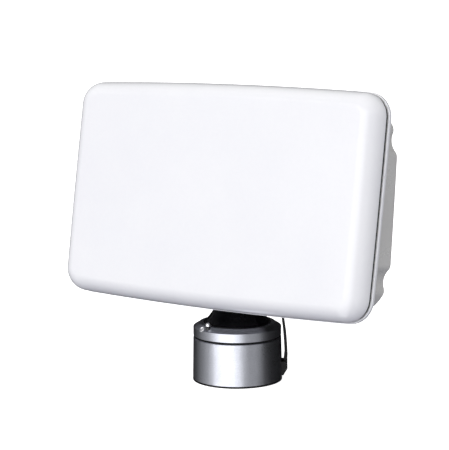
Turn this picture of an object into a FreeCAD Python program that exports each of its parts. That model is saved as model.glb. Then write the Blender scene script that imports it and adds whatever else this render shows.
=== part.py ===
import FreeCAD, Part
import math
import os
import re
import Sketcher

# Marine instrument pod on a swivelling deck pedestal.
#
# Row frame: millimetres, +Z up.  The origin is the centre of the pedestal's foot, on the swivel
# axis.  The pod faces -Y and its width lies along X.
#
# Three local frames keep the pieces simple:
#   pedestal frame  local +X points at the clamp lever; turned about Z by lever_angle
#   turret frame    the row frame itself
#   pod frame       X across, Y backwards through the case, Z up the case; origin at the middle of
#                   the joint between the two case halves, leaned back by pod_lean

SIZES = {
    # pedestal
    "foot_radius": 44.8, "housing_top_radius": 44.1, "housing_inner_radius": 40.6,
    "gasket_thick": 2.0, "plate_top": 6.0, "plate_radius": 40.2, "cable_hole_radius": 16.0,
    "deck_hole_circle": 30.0, "deck_hole_radius": 3.3,
    "post_circle": 31.0, "post_radius": 5.0, "housing_top": 43.6, "housing_deck": 37.6,
    "hub_radius": 21.0, "hub_bottom": 28.0, "hub_bore": 16.5, "edge_break": 0.5,
    "post_thread_radius": 2.0, "post_thread_depth": 12.0, "post_hole_radius": 2.2,
    "post_seat_radius": 4.0, "post_seat_depth": 3.8, "running_fit": 0.06,
    "ring_top": 45.3, "ring_radius": 40.0, "ring_bore": 17.0, "seal_radius": 42.6,
    # clamp lever, its bracket and the brake behind it
    "lever_angle": 33.8, "flat_at": 43.1, "pivot_at": 47.6, "pivot_height": 12.0,
    "bracket_half_width": 9.0, "bracket_bottom": 4.6, "bracket_top": 18.7, "bracket_outer": 50.0,
    "bracket_screw_inset": 2.0, "bracket_screw_drop": 2.6, "bracket_thread_radius": 1.1,
    "bracket_hole_radius": 1.35, "flat_clearance": 0.3, "bracket_back": 1.4,
    "lever_half_width": 5.0, "lever_gap": 0.3, "pin_radius": 1.0, "pin_fit": 0.05,
    "cam_radius": 2.1, "cam_offset": 0.6, "cam_rise": 0.4, "lever_tip": 64.5, "grip_half_width": 8.0,
    "plunger_radius": 2.0, "plunger_hole_gap": 0.35, "plunger_fit": 0.05,
    "plunger_end": 44.75, "plunger_inner": 21.0, "bush_radius": 3.5,
    "shoe_outer": 21.0, "shoe_half_width": 6.0, "shoe_half_height": 3.6,
    # turret
    "collar_bottom": 45.5, "collar_radius": 44.0, "collar_side_top": 54.5, "band_radius": 38.6,
    "band_top": 57.6, "collar_top": 58.2, "annulus_radius": 38.0, "spindle_radius": 14.2,
    "cable_radius": 10.0, "spindle_bottom": 8.0, "nut_radius": 20.8, "nut_bottom": 20.5,
    "nut_top": 27.2, "washer_top": 27.7, "neck_screw_circle": 20.0,
    "neck_foot_radius": 33.8, "neck_mid_radius": 28.6, "neck_mid_height": 63.8,
    "neck_top_radius": 24.0, "neck_shoulder": 70.4, "neck_top": 71.7, "neck_crown_radius": 22.0,
    "arm_half_width": 14.5, "arm_back": 34.0, "arm_front": 9.6, "knuckle_radius": 10.5,
    "tilt_y": 20.85, "tilt_z": 89.32, "outlet_radius": 5.0, "outlet_height": 65.6,
    "button_angle": -103.0, "button_circle": 39.6, "button_radius": 2.5, "button_top": 62.7,
    "lock_angle": -112.0, "lock_circle": 41.9, "lock_height": 55.5, "lock_radius": 3.2,
    "lock_rise": 45.0, "lock_bore_start": 4.0, "lock_length": 6.2, "lock_key": 1.7,
    "button_dome": 2.3, "button_stem": 3.4, "button_bore_depth": 6.4,
    "neck_seat_radius": 3.7, "neck_seat_depth": 4.0, "neck_hole_radius": 2.1,
    "neck_thread_radius": 1.95, "neck_roof": 5.0,
    # pod case
    "pod_lean": 10.31,
    "pod_half_width": 174.7, "pod_half_height": 109.85, "long_bow_radius": 4490.0,
    "short_bow_radius": 9300.0, "pod_corner": 23.5,
    "front_depth": 25.0, "joint_half": 1.7, "front_roll": 18.0, "wall": 3.5,
    "flange_back": 6.0, "block_inset": 4.0, "rear_depth_top": 33.9, "rear_depth_bottom": 50.1,
    "rear_edge": 8.0, "block_corner": 52.0, "scoop_radius": 16.0, "scoop_out": 9.1,
    "scoop_wall": 4.0, "scoop_round": 9.0,
    "side_screw_height": 67.5, "end_screw_across": 58.0, "screw_inset": 6.6,
    "hump_half_width": 86.0, "hump_bottom": -30.0, "hump_top": 74.0, "hump_depth": 56.0,
    "hump_edge": 7.0, "seat_depth": 50.0, "seat_half_width": 36.0, "seat_bottom": -101.0,
    "seat_top": -33.0, "gland_across": 70.0, "gland_up": -70.0, "gland_pad": 14.0,
    "vent_pad": 10.0, "insert_radius": 3.0, "insert_length": 8.0, "boss_radius": 5.2,
    "case_screw_radius": 1.9, "case_screw_head": 3.6, "case_screw_head_height": 3.6,
    # bracket between pod and neck
    "plate_thick": 4.0, "ear_inner": 15.4, "ear_thick": 7.0, "axis_back": 62.0, "axis_up": -88.0,
    "ear_radius": 11.0, "bracket_plate_bottom": -72.0, "bracket_plate_top": -36.0,
    "bracket_plate_half_width": 33.0, "bolt_across": 27.0, "bolt_up": -54.0, "bolt_step": 12.0,
    "tilt_bolt_radius": 4.0, "tilt_fit": 0.05, "backing_front": 37.8,
    "gland_hole_radius": 8.0, "vent_hole_radius": 4.0, "bolt_hole_radius": 2.6,
}

doc = FreeCAD.newDocument("instrument_pod")
dims = doc.addObject("Spreadsheet::Sheet", "dims")
for row, (alias, number) in enumerate(SIZES.items(), start=1):
    dims.set("A%d" % row, alias)
    dims.set("B%d" % row, str(number))
    dims.setAlias("B%d" % row, alias)
doc.recompute()

WORD = re.compile(r"[a-z][a-z_]+")
NODES = []

# Where the pod frame's origin lands: the tilt axis is shared by the neck and the bracket.
POD_Y = "(tilt_y - axis_up * sin(pod_lean * 1 deg) - axis_back * cos(pod_lean * 1 deg))"
POD_Z = "(tilt_z - axis_up * cos(pod_lean * 1 deg) + axis_back * sin(pod_lean * 1 deg))"


def bound(text):
    """An expression on the sheet's aliases, written the way setExpression needs it."""
    return WORD.sub(lambda hit: "dims." + hit.group() if hit.group() in SIZES else hit.group(), text)


def value(text):
    """The present value of such an expression."""
    return float(dims.evalExpression(text))


def vector(across, up=0.0, out=0.0):
    return FreeCAD.Vector(across, up, out)


# --- sketching ---------------------------------------------------------------------------------

def new_body(label):
    body = doc.addObject("PartDesign::Body", label)
    body.Label = label
    return body


def new_sketch(body, role, lift="0"):
    """A sketch on one of the body's origin planes, lifted along that plane's normal."""
    sketch = body.newObject("Sketcher::SketchObject", body.Name + "_sketch")
    plane = [feature for feature in body.Origin.OriginFeatures if feature.Role == role][0]
    sketch.AttachmentSupport = (plane, [""])
    sketch.MapMode = "FlatFace"
    sketch.setExpression("AttachmentOffset.Base.z", bound(lift))
    return sketch


def fix_distance(sketch, kind, axis, geometry, point, text):
    """Ties one coordinate of a sketch point to an expression."""
    size = value(text)
    if abs(size) < 1e-9:
        sketch.addConstraint(Sketcher.Constraint("PointOnObject", geometry, point, axis))
        return
    if size > 0:
        constraint = Sketcher.Constraint(kind, -1, 1, geometry, point, size)
        index = sketch.addConstraint(constraint)
        sketch.setExpression("Constraints[%d]" % index, bound(text))
        return
    constraint = Sketcher.Constraint(kind, geometry, point, -1, 1, -size)
    index = sketch.addConstraint(constraint)
    sketch.setExpression("Constraints[%d]" % index, bound("-(%s)" % text))


def fix_point(sketch, geometry, point, across, up):
    fix_distance(sketch, "DistanceX", -2, geometry, point, across)
    fix_distance(sketch, "DistanceY", -1, geometry, point, up)


def fix_radius(sketch, geometry, radius):
    index = sketch.addConstraint(Sketcher.Constraint("Radius", geometry, value(radius)))
    sketch.setExpression("Constraints[%d]" % index, bound(radius))


def add_polygon(sketch, corners):
    """A closed outline of straight edges; each corner is a pair of expressions."""
    first = sketch.GeometryCount
    count = len(corners)
    spots = [vector(value(across), value(up)) for across, up in corners]
    for step in range(count):
        sketch.addGeometry(Part.LineSegment(spots[step], spots[(step + 1) % count]), False)
    for step in range(count):
        follower = first + (step + 1) % count
        sketch.addConstraint(Sketcher.Constraint("Coincident", first + step, 2, follower, 1))
    for step, (across, up) in enumerate(corners):
        fix_point(sketch, first + step, 1, across, up)


def add_box(sketch, left, right, bottom, top):
    add_polygon(sketch, [(left, bottom), (right, bottom), (right, top), (left, top)])


def add_circle(sketch, across, up, radius):
    circle = Part.Circle(vector(value(across), value(up)), vector(0, 0, 1), value(radius))
    index = sketch.addGeometry(circle, False)
    fix_point(sketch, index, 3, across, up)
    fix_radius(sketch, index, radius)


def add_case_outline(sketch, inset, corner_alias="pod_corner"):
    """The pod's rounded rectangle, set in by an expression: four bowed sides, four tangent corners."""
    half_width = value("pod_half_width - (%s)" % inset)
    half_height = value("pod_half_height - (%s)" % inset)
    long_bow = value("long_bow_radius - (%s)" % inset)
    short_bow = value("short_bow_radius - (%s)" % inset)
    corner = value("%s - (%s)" % (corner_alias, inset))
    side_centre = vector(half_width - short_bow, 0)
    top_centre = vector(0, half_height - long_bow)
    # the corner's centre is short_bow - corner from one bow's centre and long_bow - corner from
    # the other's, so it is where two circles cross
    span = top_centre.sub(side_centre)
    far, near = short_bow - corner, long_bow - corner
    along = (far ** 2 - near ** 2 + span.Length ** 2) / (2 * span.Length)
    off = math.sqrt(far ** 2 - along ** 2)
    unit = vector(span.x / span.Length, span.y / span.Length)
    corner_centre = side_centre + unit * along + vector(unit.y, -unit.x) * off
    if corner_centre.x < 0:
        corner_centre = side_centre + unit * along - vector(unit.y, -unit.x) * off
    start = math.atan2(corner_centre.y - side_centre.y, corner_centre.x - side_centre.x)
    end = math.atan2(corner_centre.y - top_centre.y, corner_centre.x - top_centre.x)
    arcs = []
    for quarter in range(4):
        base = quarter * math.pi / 2
        turn = quarter % 2
        side_bow, bow_half = (short_bow, half_width) if turn == 0 else (long_bow, half_height)
        reach = start if turn == 0 else math.pi / 2 - end
        centre = vector(math.cos(base), math.sin(base)) * (bow_half - side_bow)
        arcs.append((centre, side_bow, base - reach, base + reach))
        flip_x = 1 if quarter in (0, 3) else -1
        flip_y = 1 if quarter in (0, 1) else -1
        corner_start = base + (start if turn == 0 else math.pi / 2 - end)
        corner_end = base + (end if turn == 0 else math.pi / 2 - start)
        arcs.append((vector(corner_centre.x * flip_x, corner_centre.y * flip_y), corner,
                     corner_start, corner_end))
    for centre, radius, low, high in arcs:
        circle = Part.Circle(centre, vector(0, 0, 1), radius)
        sketch.addGeometry(Part.ArcOfCircle(circle, low, high), False)
    for index in range(8):
        sketch.addConstraint(Sketcher.Constraint("Tangent", index, 2, (index + 1) % 8, 1))
    bows = [("pod_half_width - short_bow_radius", "0", "short_bow_radius"),
            ("0", "pod_half_height - long_bow_radius", "long_bow_radius"),
            ("-(pod_half_width - short_bow_radius)", "0", "short_bow_radius"),
            ("0", "-(pod_half_height - long_bow_radius)", "long_bow_radius")]
    for quarter, (across, up, radius) in enumerate(bows):
        fix_point(sketch, 2 * quarter, 3, across, up)
        fix_radius(sketch, 2 * quarter, "%s - (%s)" % (radius, inset))
        fix_radius(sketch, 2 * quarter + 1, "%s - (%s)" % (corner_alias, inset))


# --- features ----------------------------------------------------------------------------------

def pad(body, sketch, length, back=False, both=False):
    feature = body.newObject("PartDesign::Pad", body.Name + "_pad")
    feature.Profile = sketch
    feature.setExpression("Length", bound(length))
    feature.Reversed = back
    feature.Midplane = both
    doc.recompute()
    return feature


def pocket(body, sketch, length, back=False, both=False):
    """Cuts a sketch into the body and makes sure that something was removed."""
    before = body.Shape.Volume
    feature = body.newObject("PartDesign::Pocket", body.Name + "_pocket")
    feature.Profile = sketch
    feature.setExpression("Length", bound(length))
    feature.Reversed = back
    feature.Midplane = both
    doc.recompute()
    if body.Shape.Volume > before - 1e-3:
        raise RuntimeError("pocket removed nothing from " + body.Label)
    return feature


def spin(body, sketch, cut=False):
    """Turns a sketch about the body's vertical axis."""
    kind = "PartDesign::Groove" if cut else "PartDesign::Revolution"
    feature = body.newObject(kind, body.Name + "_turned")
    feature.Profile = sketch
    feature.ReferenceAxis = (sketch, ["V_Axis"])
    feature.Angle = 360
    doc.recompute()
    return feature


def edges_at(shape, test):
    """Names of the edges whose middle and ends all pass the test."""
    names = []
    for number, edge in enumerate(shape.Edges, start=1):
        low, high = edge.ParameterRange
        spots = [edge.valueAt(low + (high - low) * share) for share in (0.02, 0.5, 0.98)]
        if all(test(spot) for spot in spots):
            names.append("Edge%d" % number)
    return names


def dress(body, kind, size, test):
    """Fillet or Chamfer on the edges of the body's tip that pass the test."""
    base = body.Tip
    names = edges_at(base.Shape, test)
    feature = body.newObject("PartDesign::" + kind, body.Name + "_" + kind.lower())
    feature.Base = (base, names)
    feature.setExpression("Radius" if kind == "Fillet" else "Size", bound(size))
    doc.recompute()
    return feature


def turned(label, corners):
    """A body of revolution about Z; corners are (radius, height) pairs of expressions."""
    body = new_body(label)
    sketch = new_sketch(body, "XZ_Plane")
    add_polygon(sketch, corners)
    spin(body, sketch)
    return body


def ring(label, inner, outer, bottom, top):
    return turned(label, [(inner, bottom), (outer, bottom), (outer, top), (inner, top)])


def cylinder(label, radius, height):
    rod = doc.addObject("Part::Cylinder", label)
    rod.Label = label
    rod.setExpression("Radius", bound(radius))
    rod.setExpression("Height", bound(height))
    return rod


def cut(label, base, *tools):
    """base with each tool taken away."""
    result = base
    for count, tool in enumerate(tools, start=1):
        step = doc.addObject("Part::Cut", "%s_cut_%d" % (label, count))
        step.Base = result
        step.Tool = tool
        result = step
    result.Label = label
    doc.recompute()
    return result


def hexagon(sketch, radius):
    corners = [("(%s) * cos(%d deg)" % (radius, turn), "(%s) * sin(%d deg)" % (radius, turn))
               for turn in (30, 90, 150, 210, 270, 330)]
    add_polygon(sketch, corners)


def screw(label, head_radius, head_height, shank_radius, shank_length, key_radius):
    """Socket screw on Z: head above z = 0, plain shank below, hexagon socket in the head."""
    body = turned(label, [("0", "-(%s)" % shank_length), (shank_radius, "-(%s)" % shank_length),
                          (shank_radius, "0"), (head_radius, "0"),
                          (head_radius, "(%s) * 0.85" % head_height),
                          ("(%s) * 0.88" % head_radius, head_height), ("0", head_height)])
    socket = new_sketch(body, "XY_Plane", head_height)
    hexagon(socket, key_radius)
    pocket(body, socket, "(%s) * 0.6" % head_height)
    return body


def group(label, master, places):
    """Copies of one fastener at several places, as one node of separate solids."""
    copies = []
    for place in places:
        copy = master.Shape.copy()
        copy.Placement = place
        copies.append(copy)
    node = doc.addObject("Part::Feature", label)
    node.Label = label
    node.Shape = Part.makeCompound(copies)
    return node


# --- placing -----------------------------------------------------------------------------------

def place_on_pedestal(node, angle="lever_angle"):
    """Turns a piece from local +X to its own direction about the swivel axis."""
    node.Placement = FreeCAD.Placement(vector(0), FreeCAD.Rotation(vector(0, 0, 1), value(angle)))
    node.setExpression("Placement.Rotation.Angle", bound(angle + " * 1 deg"))
    return node


def place_in_pod(node):
    """Leans a piece of the pod back and lifts it over the pedestal."""
    lean = FreeCAD.Rotation(vector(-1, 0, 0), value("pod_lean"))
    node.Placement = FreeCAD.Placement(vector(0, value(POD_Y), value(POD_Z)), lean)
    node.setExpression("Placement.Base.y", bound(POD_Y))
    node.setExpression("Placement.Base.z", bound(POD_Z))
    return node


def keep(node):
    """Marks an object as a node of the assembly, written under its label."""
    NODES.append(node)
    return node


def spot_on_circle(circle, turn):
    return "(%s) * cos(%s deg)" % (circle, turn), "(%s) * sin(%s deg)" % (circle, turn)


DECK_HOLE_TURNS = [45, 135, 225, 315]
POST_TURNS = [90, 180, 270]
NECK_SCREW_TURNS = [45, 135, 225, 315]


# --- pedestal ----------------------------------------------------------------------------------

def make_foot_gasket():
    body = ring("foot_gasket", "cable_hole_radius", "foot_radius", "0", "gasket_thick")
    holes = new_sketch(body, "XY_Plane")
    for turn in DECK_HOLE_TURNS:
        add_circle(holes, *spot_on_circle("deck_hole_circle", turn), "deck_hole_radius")
    pocket(body, holes, "gasket_thick", back=True)
    keep(place_on_pedestal(body))


def make_deck_plate():
    """Plate screwed to the deck, with three posts that carry the housing."""
    body = ring("deck_plate", "cable_hole_radius", "plate_radius", "gasket_thick", "plate_top")
    posts = new_sketch(body, "XY_Plane", "plate_top - 1")
    for turn in POST_TURNS:
        add_circle(posts, *spot_on_circle("post_circle", turn), "post_radius")
    pad(body, posts, "housing_deck - plate_top + 1")
    threads = new_sketch(body, "XY_Plane", "housing_deck")
    for turn in POST_TURNS:
        add_circle(threads, *spot_on_circle("post_circle", turn), "post_thread_radius")
    pocket(body, threads, "post_thread_depth")
    holes = new_sketch(body, "XY_Plane")
    for turn in DECK_HOLE_TURNS:
        add_circle(holes, *spot_on_circle("deck_hole_circle", turn), "deck_hole_radius")
    pocket(body, holes, "plate_top + 1", back=True)
    keep(place_on_pedestal(body))


def make_base_housing():
    """Turned and drafted cover with a bearing hub, a flat for the bracket and three screw seats."""
    body = turned("base_housing", [
        ("housing_inner_radius", "gasket_thick"), ("foot_radius", "gasket_thick"),
        ("housing_top_radius", "housing_top - edge_break"),
        ("housing_top_radius - edge_break", "housing_top"),
        ("hub_bore", "housing_top"), ("hub_bore", "hub_bottom"), ("hub_radius", "hub_bottom"),
        ("hub_radius", "housing_deck"), ("housing_inner_radius", "housing_deck")])
    seats = new_sketch(body, "XY_Plane", "housing_top")
    for turn in POST_TURNS:
        add_circle(seats, *spot_on_circle("post_circle", turn), "post_seat_radius")
    pocket(body, seats, "post_seat_depth")
    holes = new_sketch(body, "XY_Plane", "housing_top")
    for turn in POST_TURNS:
        add_circle(holes, *spot_on_circle("post_circle", turn), "post_hole_radius")
    pocket(body, holes, "housing_top - housing_deck")
    flat = new_sketch(body, "XZ_Plane")
    add_box(flat, "flat_at", "foot_radius + 2", "bracket_bottom - flat_clearance",
            "bracket_top + flat_clearance")
    pocket(body, flat, "2 * bracket_half_width + 2 * flat_clearance", both=True)
    through = new_sketch(body, "YZ_Plane", "housing_inner_radius - 3")
    add_circle(through, "0", "pivot_height", "bush_radius")
    for side in ("", "-"):
        add_circle(through, side + "(bracket_half_width - bracket_screw_inset)",
                   "bracket_top - bracket_screw_drop", "bracket_hole_radius")
    pocket(body, through, "8", back=True)
    keep(place_on_pedestal(body))


def make_housing_screws():
    master = screw("housing_screw", "3.6", "3.4", "1.9", "13.5", "1.75")
    places = []
    for turn in POST_TURNS:
        angle = math.radians(turn + value("lever_angle"))
        circle = value("post_circle")
        height = value("housing_top - post_seat_depth")
        spot = vector(circle * math.cos(angle), circle * math.sin(angle), height)
        places.append(FreeCAD.Placement(spot, FreeCAD.Rotation()))
    keep(group("housing_screws", master, places))


def make_bearing():
    """Acetal bush and ring that the turret turns on, and the lip seal that fills the groove."""
    keep(turned("swivel_bush", [
        ("spindle_radius + running_fit", "hub_bottom"), ("hub_bore", "hub_bottom"),
        ("hub_bore", "housing_top"), ("spindle_radius + running_fit", "housing_top")]))
    keep(ring("bearing_ring", "ring_bore", "ring_radius", "housing_top", "ring_top"))
    keep(ring("rain_seal", "ring_radius + 0.1", "seal_radius", "housing_top", "ring_top - 0.2"))


def make_lever_bracket():
    """Two ears on a back plate, seated on the housing's flat."""
    body = new_body("lever_bracket")
    side = new_sketch(body, "XZ_Plane")
    add_polygon(side, [
        ("flat_at", "bracket_bottom + 0.6"), ("flat_at + 2.6", "bracket_bottom"),
        ("bracket_outer", "bracket_bottom + 7"), ("bracket_outer", "bracket_top - 3.4"),
        ("bracket_outer - 1.6", "bracket_top"), ("flat_at", "bracket_top")])
    pad(body, side, "2 * bracket_half_width", both=True)
    slot = new_sketch(body, "XZ_Plane")
    add_box(slot, "flat_at + bracket_back", "bracket_outer + 2", "bracket_bottom - 2", "bracket_top + 2")
    pocket(body, slot, "2 * lever_half_width + 2 * lever_gap", both=True)
    bore = new_sketch(body, "XZ_Plane")
    add_circle(bore, "pivot_at", "pivot_height", "pin_radius")
    pocket(body, bore, "4 * bracket_half_width", both=True)
    back = new_sketch(body, "YZ_Plane", "flat_at - 1")
    add_circle(back, "0", "pivot_height", "plunger_radius + plunger_hole_gap")
    for hand in ("", "-"):
        add_circle(back, hand + "(bracket_half_width - bracket_screw_inset)",
                   "bracket_top - bracket_screw_drop", "bracket_thread_radius")
    pocket(body, back, "4", back=True)
    keep(place_on_pedestal(body))


def make_bracket_screws():
    """Two small screws from inside the housing into the bracket's ears."""
    master = screw("bracket_screw", "2.2", "1.8", "1.1", "6.6", "1.0")
    turn = FreeCAD.Rotation(vector(0, 0, 1), value("lever_angle"))
    lie = FreeCAD.Rotation(vector(0, 1, 0), -90)
    places = []
    for hand in (1, -1):
        spot = vector(value("housing_inner_radius") - 1.4,
                      hand * value("bracket_half_width - bracket_screw_inset"),
                      value("bracket_top - bracket_screw_drop"))
        places.append(FreeCAD.Placement(turn.multVec(spot), turn.multiply(lie)))
    keep(group("bracket_screws", master, places))


def make_lever_pin():
    rod = cylinder("lever_pin", "pin_radius", "2 * bracket_half_width - 0.4")
    turn = FreeCAD.Rotation(vector(0, 0, 1), value("lever_angle"))
    lie = FreeCAD.Rotation(vector(1, 0, 0), -90)
    start = vector(value("pivot_at"), 0.2 - value("bracket_half_width"), value("pivot_height"))
    rod.Placement = FreeCAD.Placement(turn.multVec(start), turn.multiply(lie))
    keep(rod)


def make_plunger_bush():
    body = new_body("plunger_bush")
    sleeve = new_sketch(body, "YZ_Plane", "housing_inner_radius - 1.5")
    add_circle(sleeve, "0", "pivot_height", "bush_radius")
    pad(body, sleeve, "flat_at - housing_inner_radius + 1.5")
    bore = new_sketch(body, "YZ_Plane", "housing_inner_radius - 2.5")
    add_circle(bore, "0", "pivot_height", "plunger_radius + plunger_fit")
    pocket(body, bore, "8", back=True)
    keep(place_on_pedestal(body))


# --- lever and brake ---------------------------------------------------------------------------

def make_clamp_lever():
    """Bowed handle over an eccentric boss; the boss is the cam that drives the plunger."""
    body = new_body("clamp_lever")
    arm = new_sketch(body, "XZ_Plane")
    add_polygon(arm, [
        ("pivot_at - 0.4", "pivot_height + 1.2"), ("pivot_at + 2.4", "pivot_height"),
        ("pivot_at + 2.6", "pivot_height + 15"), ("pivot_at + 2.1", "pivot_height + 26"),
        ("pivot_at + 1.2", "pivot_height + 38"), ("pivot_at - 0.7", "lever_tip - 0.8"),
        ("pivot_at - 1.6", "lever_tip"), ("pivot_at - 2.7", "lever_tip - 0.9"),
        ("pivot_at - 3.0", "lever_tip - 4"), ("pivot_at - 1.7", "pivot_height + 38"),
        ("pivot_at - 0.7", "pivot_height + 26"), ("pivot_at - 0.2", "pivot_height + 15"),
        ("pivot_at - 1.0", "pivot_height + 8")])
    pad(body, arm, "2 * lever_half_width", both=True)
    grip = new_sketch(body, "XZ_Plane")
    add_polygon(grip, [
        ("pivot_at - 0.2", "pivot_height + 16"), ("pivot_at + 2.6", "pivot_height + 13"),
        ("pivot_at + 2.6", "pivot_height + 15"), ("pivot_at + 2.1", "pivot_height + 26"),
        ("pivot_at + 1.2", "pivot_height + 38"), ("pivot_at - 0.7", "lever_tip - 0.8"),
        ("pivot_at - 1.6", "lever_tip"), ("pivot_at - 2.7", "lever_tip - 0.9"),
        ("pivot_at - 3.0", "lever_tip - 4"), ("pivot_at - 1.7", "pivot_height + 38"),
        ("pivot_at - 0.7", "pivot_height + 26")])
    pad(body, grip, "2 * grip_half_width", both=True)
    boss = new_sketch(body, "XZ_Plane")
    add_circle(boss, "pivot_at - cam_offset", "pivot_height + cam_rise", "cam_radius")
    pad(body, boss, "2 * lever_half_width", both=True)
    bore = new_sketch(body, "XZ_Plane")
    add_circle(bore, "pivot_at", "pivot_height", "pin_radius + pin_fit")
    pocket(body, bore, "4 * lever_half_width", both=True)
    keep(place_on_pedestal(body))


def make_brake():
    """Rod that the cam pushes inwards, with the shoe that grips the spindle."""
    rod = new_body("thrust_plunger")
    circle = new_sketch(rod, "YZ_Plane", "plunger_inner")
    add_circle(circle, "0", "pivot_height", "plunger_radius")
    pad(rod, circle, "plunger_end - plunger_inner")
    keep(place_on_pedestal(rod))
    shoe = new_body("brake_shoe")
    block = new_sketch(shoe, "XY_Plane", "pivot_height - shoe_half_height")
    add_box(block, "spindle_radius - 3", "shoe_outer", "-shoe_half_width", "shoe_half_width")
    pad(shoe, block, "2 * shoe_half_height")
    hollow = new_sketch(shoe, "XY_Plane", "pivot_height - shoe_half_height - 1")
    add_circle(hollow, "0", "0", "spindle_radius + 0.1")
    pocket(shoe, hollow, "2 * shoe_half_height + 2", back=True)
    keep(place_on_pedestal(shoe))


# --- turret ------------------------------------------------------------------------------------

def make_spindle():
    keep(ring("spindle", "cable_radius", "spindle_radius", "spindle_bottom", "collar_top"))
    keep(ring("thrust_washer", "spindle_radius", "nut_radius - 0.5", "nut_top", "washer_top"))
    nut = ring("retaining_nut", "spindle_radius", "nut_radius", "nut_bottom", "nut_top")
    slots = new_sketch(nut, "XY_Plane", "nut_bottom")
    for low, high in (("nut_radius - 2.5", "nut_radius + 1"), ("-nut_radius - 1", "2.5 - nut_radius")):
        add_box(slots, low, high, "-2", "2")
    pocket(nut, slots, "3", back=True)
    keep(nut)


def radial_cylinder(label, radius, height, circle, lift, angle, rise):
    """A cylinder that starts at (circle, lift) in the direction angle and leans out by rise."""
    rod = cylinder(label, radius, height)
    about = FreeCAD.Rotation(vector(0, 0, 1), value(angle))
    lean = FreeCAD.Rotation(vector(0, 1, 0), value(rise))
    start = vector(value(circle), 0, value(lift))
    rod.Placement = FreeCAD.Placement(about.multVec(start), about.multiply(lean))
    return rod


def make_collar():
    """Anodised ring: plain side, wide bevel, flat annulus, relieved underneath."""
    body = turned("collar_turning", [
        ("spindle_radius", "collar_bottom"), ("24", "collar_bottom"), ("24", "collar_bottom + 6"),
        ("37.5", "collar_bottom + 6"), ("37.5", "collar_bottom"),
        ("collar_radius - 0.4", "collar_bottom"), ("collar_radius", "collar_bottom + 0.4"),
        ("collar_radius", "collar_side_top - 0.3"), ("collar_radius - 0.3", "collar_side_top"),
        ("band_radius", "band_top"), ("annulus_radius", "collar_top"),
        ("spindle_radius", "collar_top")])
    seats = new_sketch(body, "XY_Plane", "collar_bottom")
    holes = new_sketch(body, "XY_Plane", "collar_bottom")
    for turn in NECK_SCREW_TURNS:
        add_circle(seats, *spot_on_circle("neck_screw_circle", turn), "neck_seat_radius")
        add_circle(holes, *spot_on_circle("neck_screw_circle", turn), "neck_hole_radius")
    pocket(body, seats, "neck_seat_depth", back=True)
    pocket(body, holes, "14", back=True)
    button_bore = radial_cylinder("button_bore", "button_radius + running_fit", "20",
                                  "button_circle", "collar_top - button_bore_depth",
                                  "button_angle", "0")
    lock_bore = radial_cylinder("lock_bore", "lock_radius", "2 * lock_length",
                                "lock_circle - lock_bore_start",
                                "lock_height - lock_bore_start", "lock_angle", "lock_rise")
    keep(cut("collar_ring", body, button_bore, lock_bore))


def make_lock_screw():
    """Tamper-resistant grub screw in the collar's shoulder."""
    body = turned("lock_screw", [
        ("0", "0"), ("lock_radius", "0"), ("lock_radius", "lock_length - 0.6"),
        ("lock_radius - 0.4", "lock_length"), ("lock_radius - 1.2", "lock_length"),
        ("lock_radius - 1.4", "lock_length - 0.3"), ("0", "lock_length - 0.3")])
    socket = new_sketch(body, "XY_Plane", "lock_length")
    hexagon(socket, "lock_key")
    pocket(body, socket, "2 * lock_key")
    about = FreeCAD.Rotation(vector(0, 0, 1), value("lock_angle"))
    lean = FreeCAD.Rotation(vector(0, 1, 0), value("lock_rise"))
    start = vector(value("lock_circle - lock_bore_start"), 0,
                   value("lock_height - lock_bore_start"))
    body.Placement = FreeCAD.Placement(about.multVec(start), about.multiply(lean))
    keep(body)


def make_detent_button():
    """Domed push button with its return spring in the same bore."""
    body = new_body("detent_button")
    sketch = new_sketch(body, "XZ_Plane")
    radius = value("button_radius")
    top = value("button_top")
    dome_height = value("button_dome")
    shoulder = top - dome_height
    bottom = value("collar_top - button_stem")
    crown = (radius ** 2 + dome_height ** 2) / (2 * dome_height)
    sketch.addGeometry(Part.LineSegment(vector(0, bottom), vector(radius, bottom)), False)
    sketch.addGeometry(Part.LineSegment(vector(radius, bottom), vector(radius, shoulder)), False)
    dome = Part.Circle(vector(0, top - crown), vector(0, 0, 1), crown)
    start = math.atan2(shoulder - top + crown, radius)
    sketch.addGeometry(Part.ArcOfCircle(dome, start, math.pi / 2), False)
    sketch.addGeometry(Part.LineSegment(vector(0, top), vector(0, bottom)), False)
    for index in range(4):
        sketch.addConstraint(Sketcher.Constraint("Coincident", index, 2, (index + 1) % 4, 1))
    fix_point(sketch, 0, 1, "0", "collar_top - button_stem")
    fix_point(sketch, 0, 2, "button_radius", "collar_top - button_stem")
    fix_point(sketch, 1, 2, "button_radius", "button_top - button_dome")
    fix_point(sketch, 2, 2, "0", "button_top")
    sketch.addConstraint(Sketcher.Constraint("PointOnObject", 2, 3, -2))
    spin(body, sketch)
    about = FreeCAD.Rotation(vector(0, 0, 1), value("button_angle"))
    body.Placement = FreeCAD.Placement(about.multVec(vector(value("button_circle"))), about)
    keep(body)
    spring = doc.addObject("Part::Feature", "button_spring")
    coil = Part.makeHelix(0.7, 2.6, 1.7)
    wire_face = Part.Wire(Part.makeCircle(0.2, vector(1.7, 0, 0), vector(0, 1, 0)))
    spring.Shape = Part.Wire(coil.Edges).makePipeShell([wire_face], True, True)
    spring.Placement = FreeCAD.Placement(
        about.multVec(vector(value("button_circle"), 0, value("collar_top - 6.2"))), about)
    keep(spring)


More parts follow.
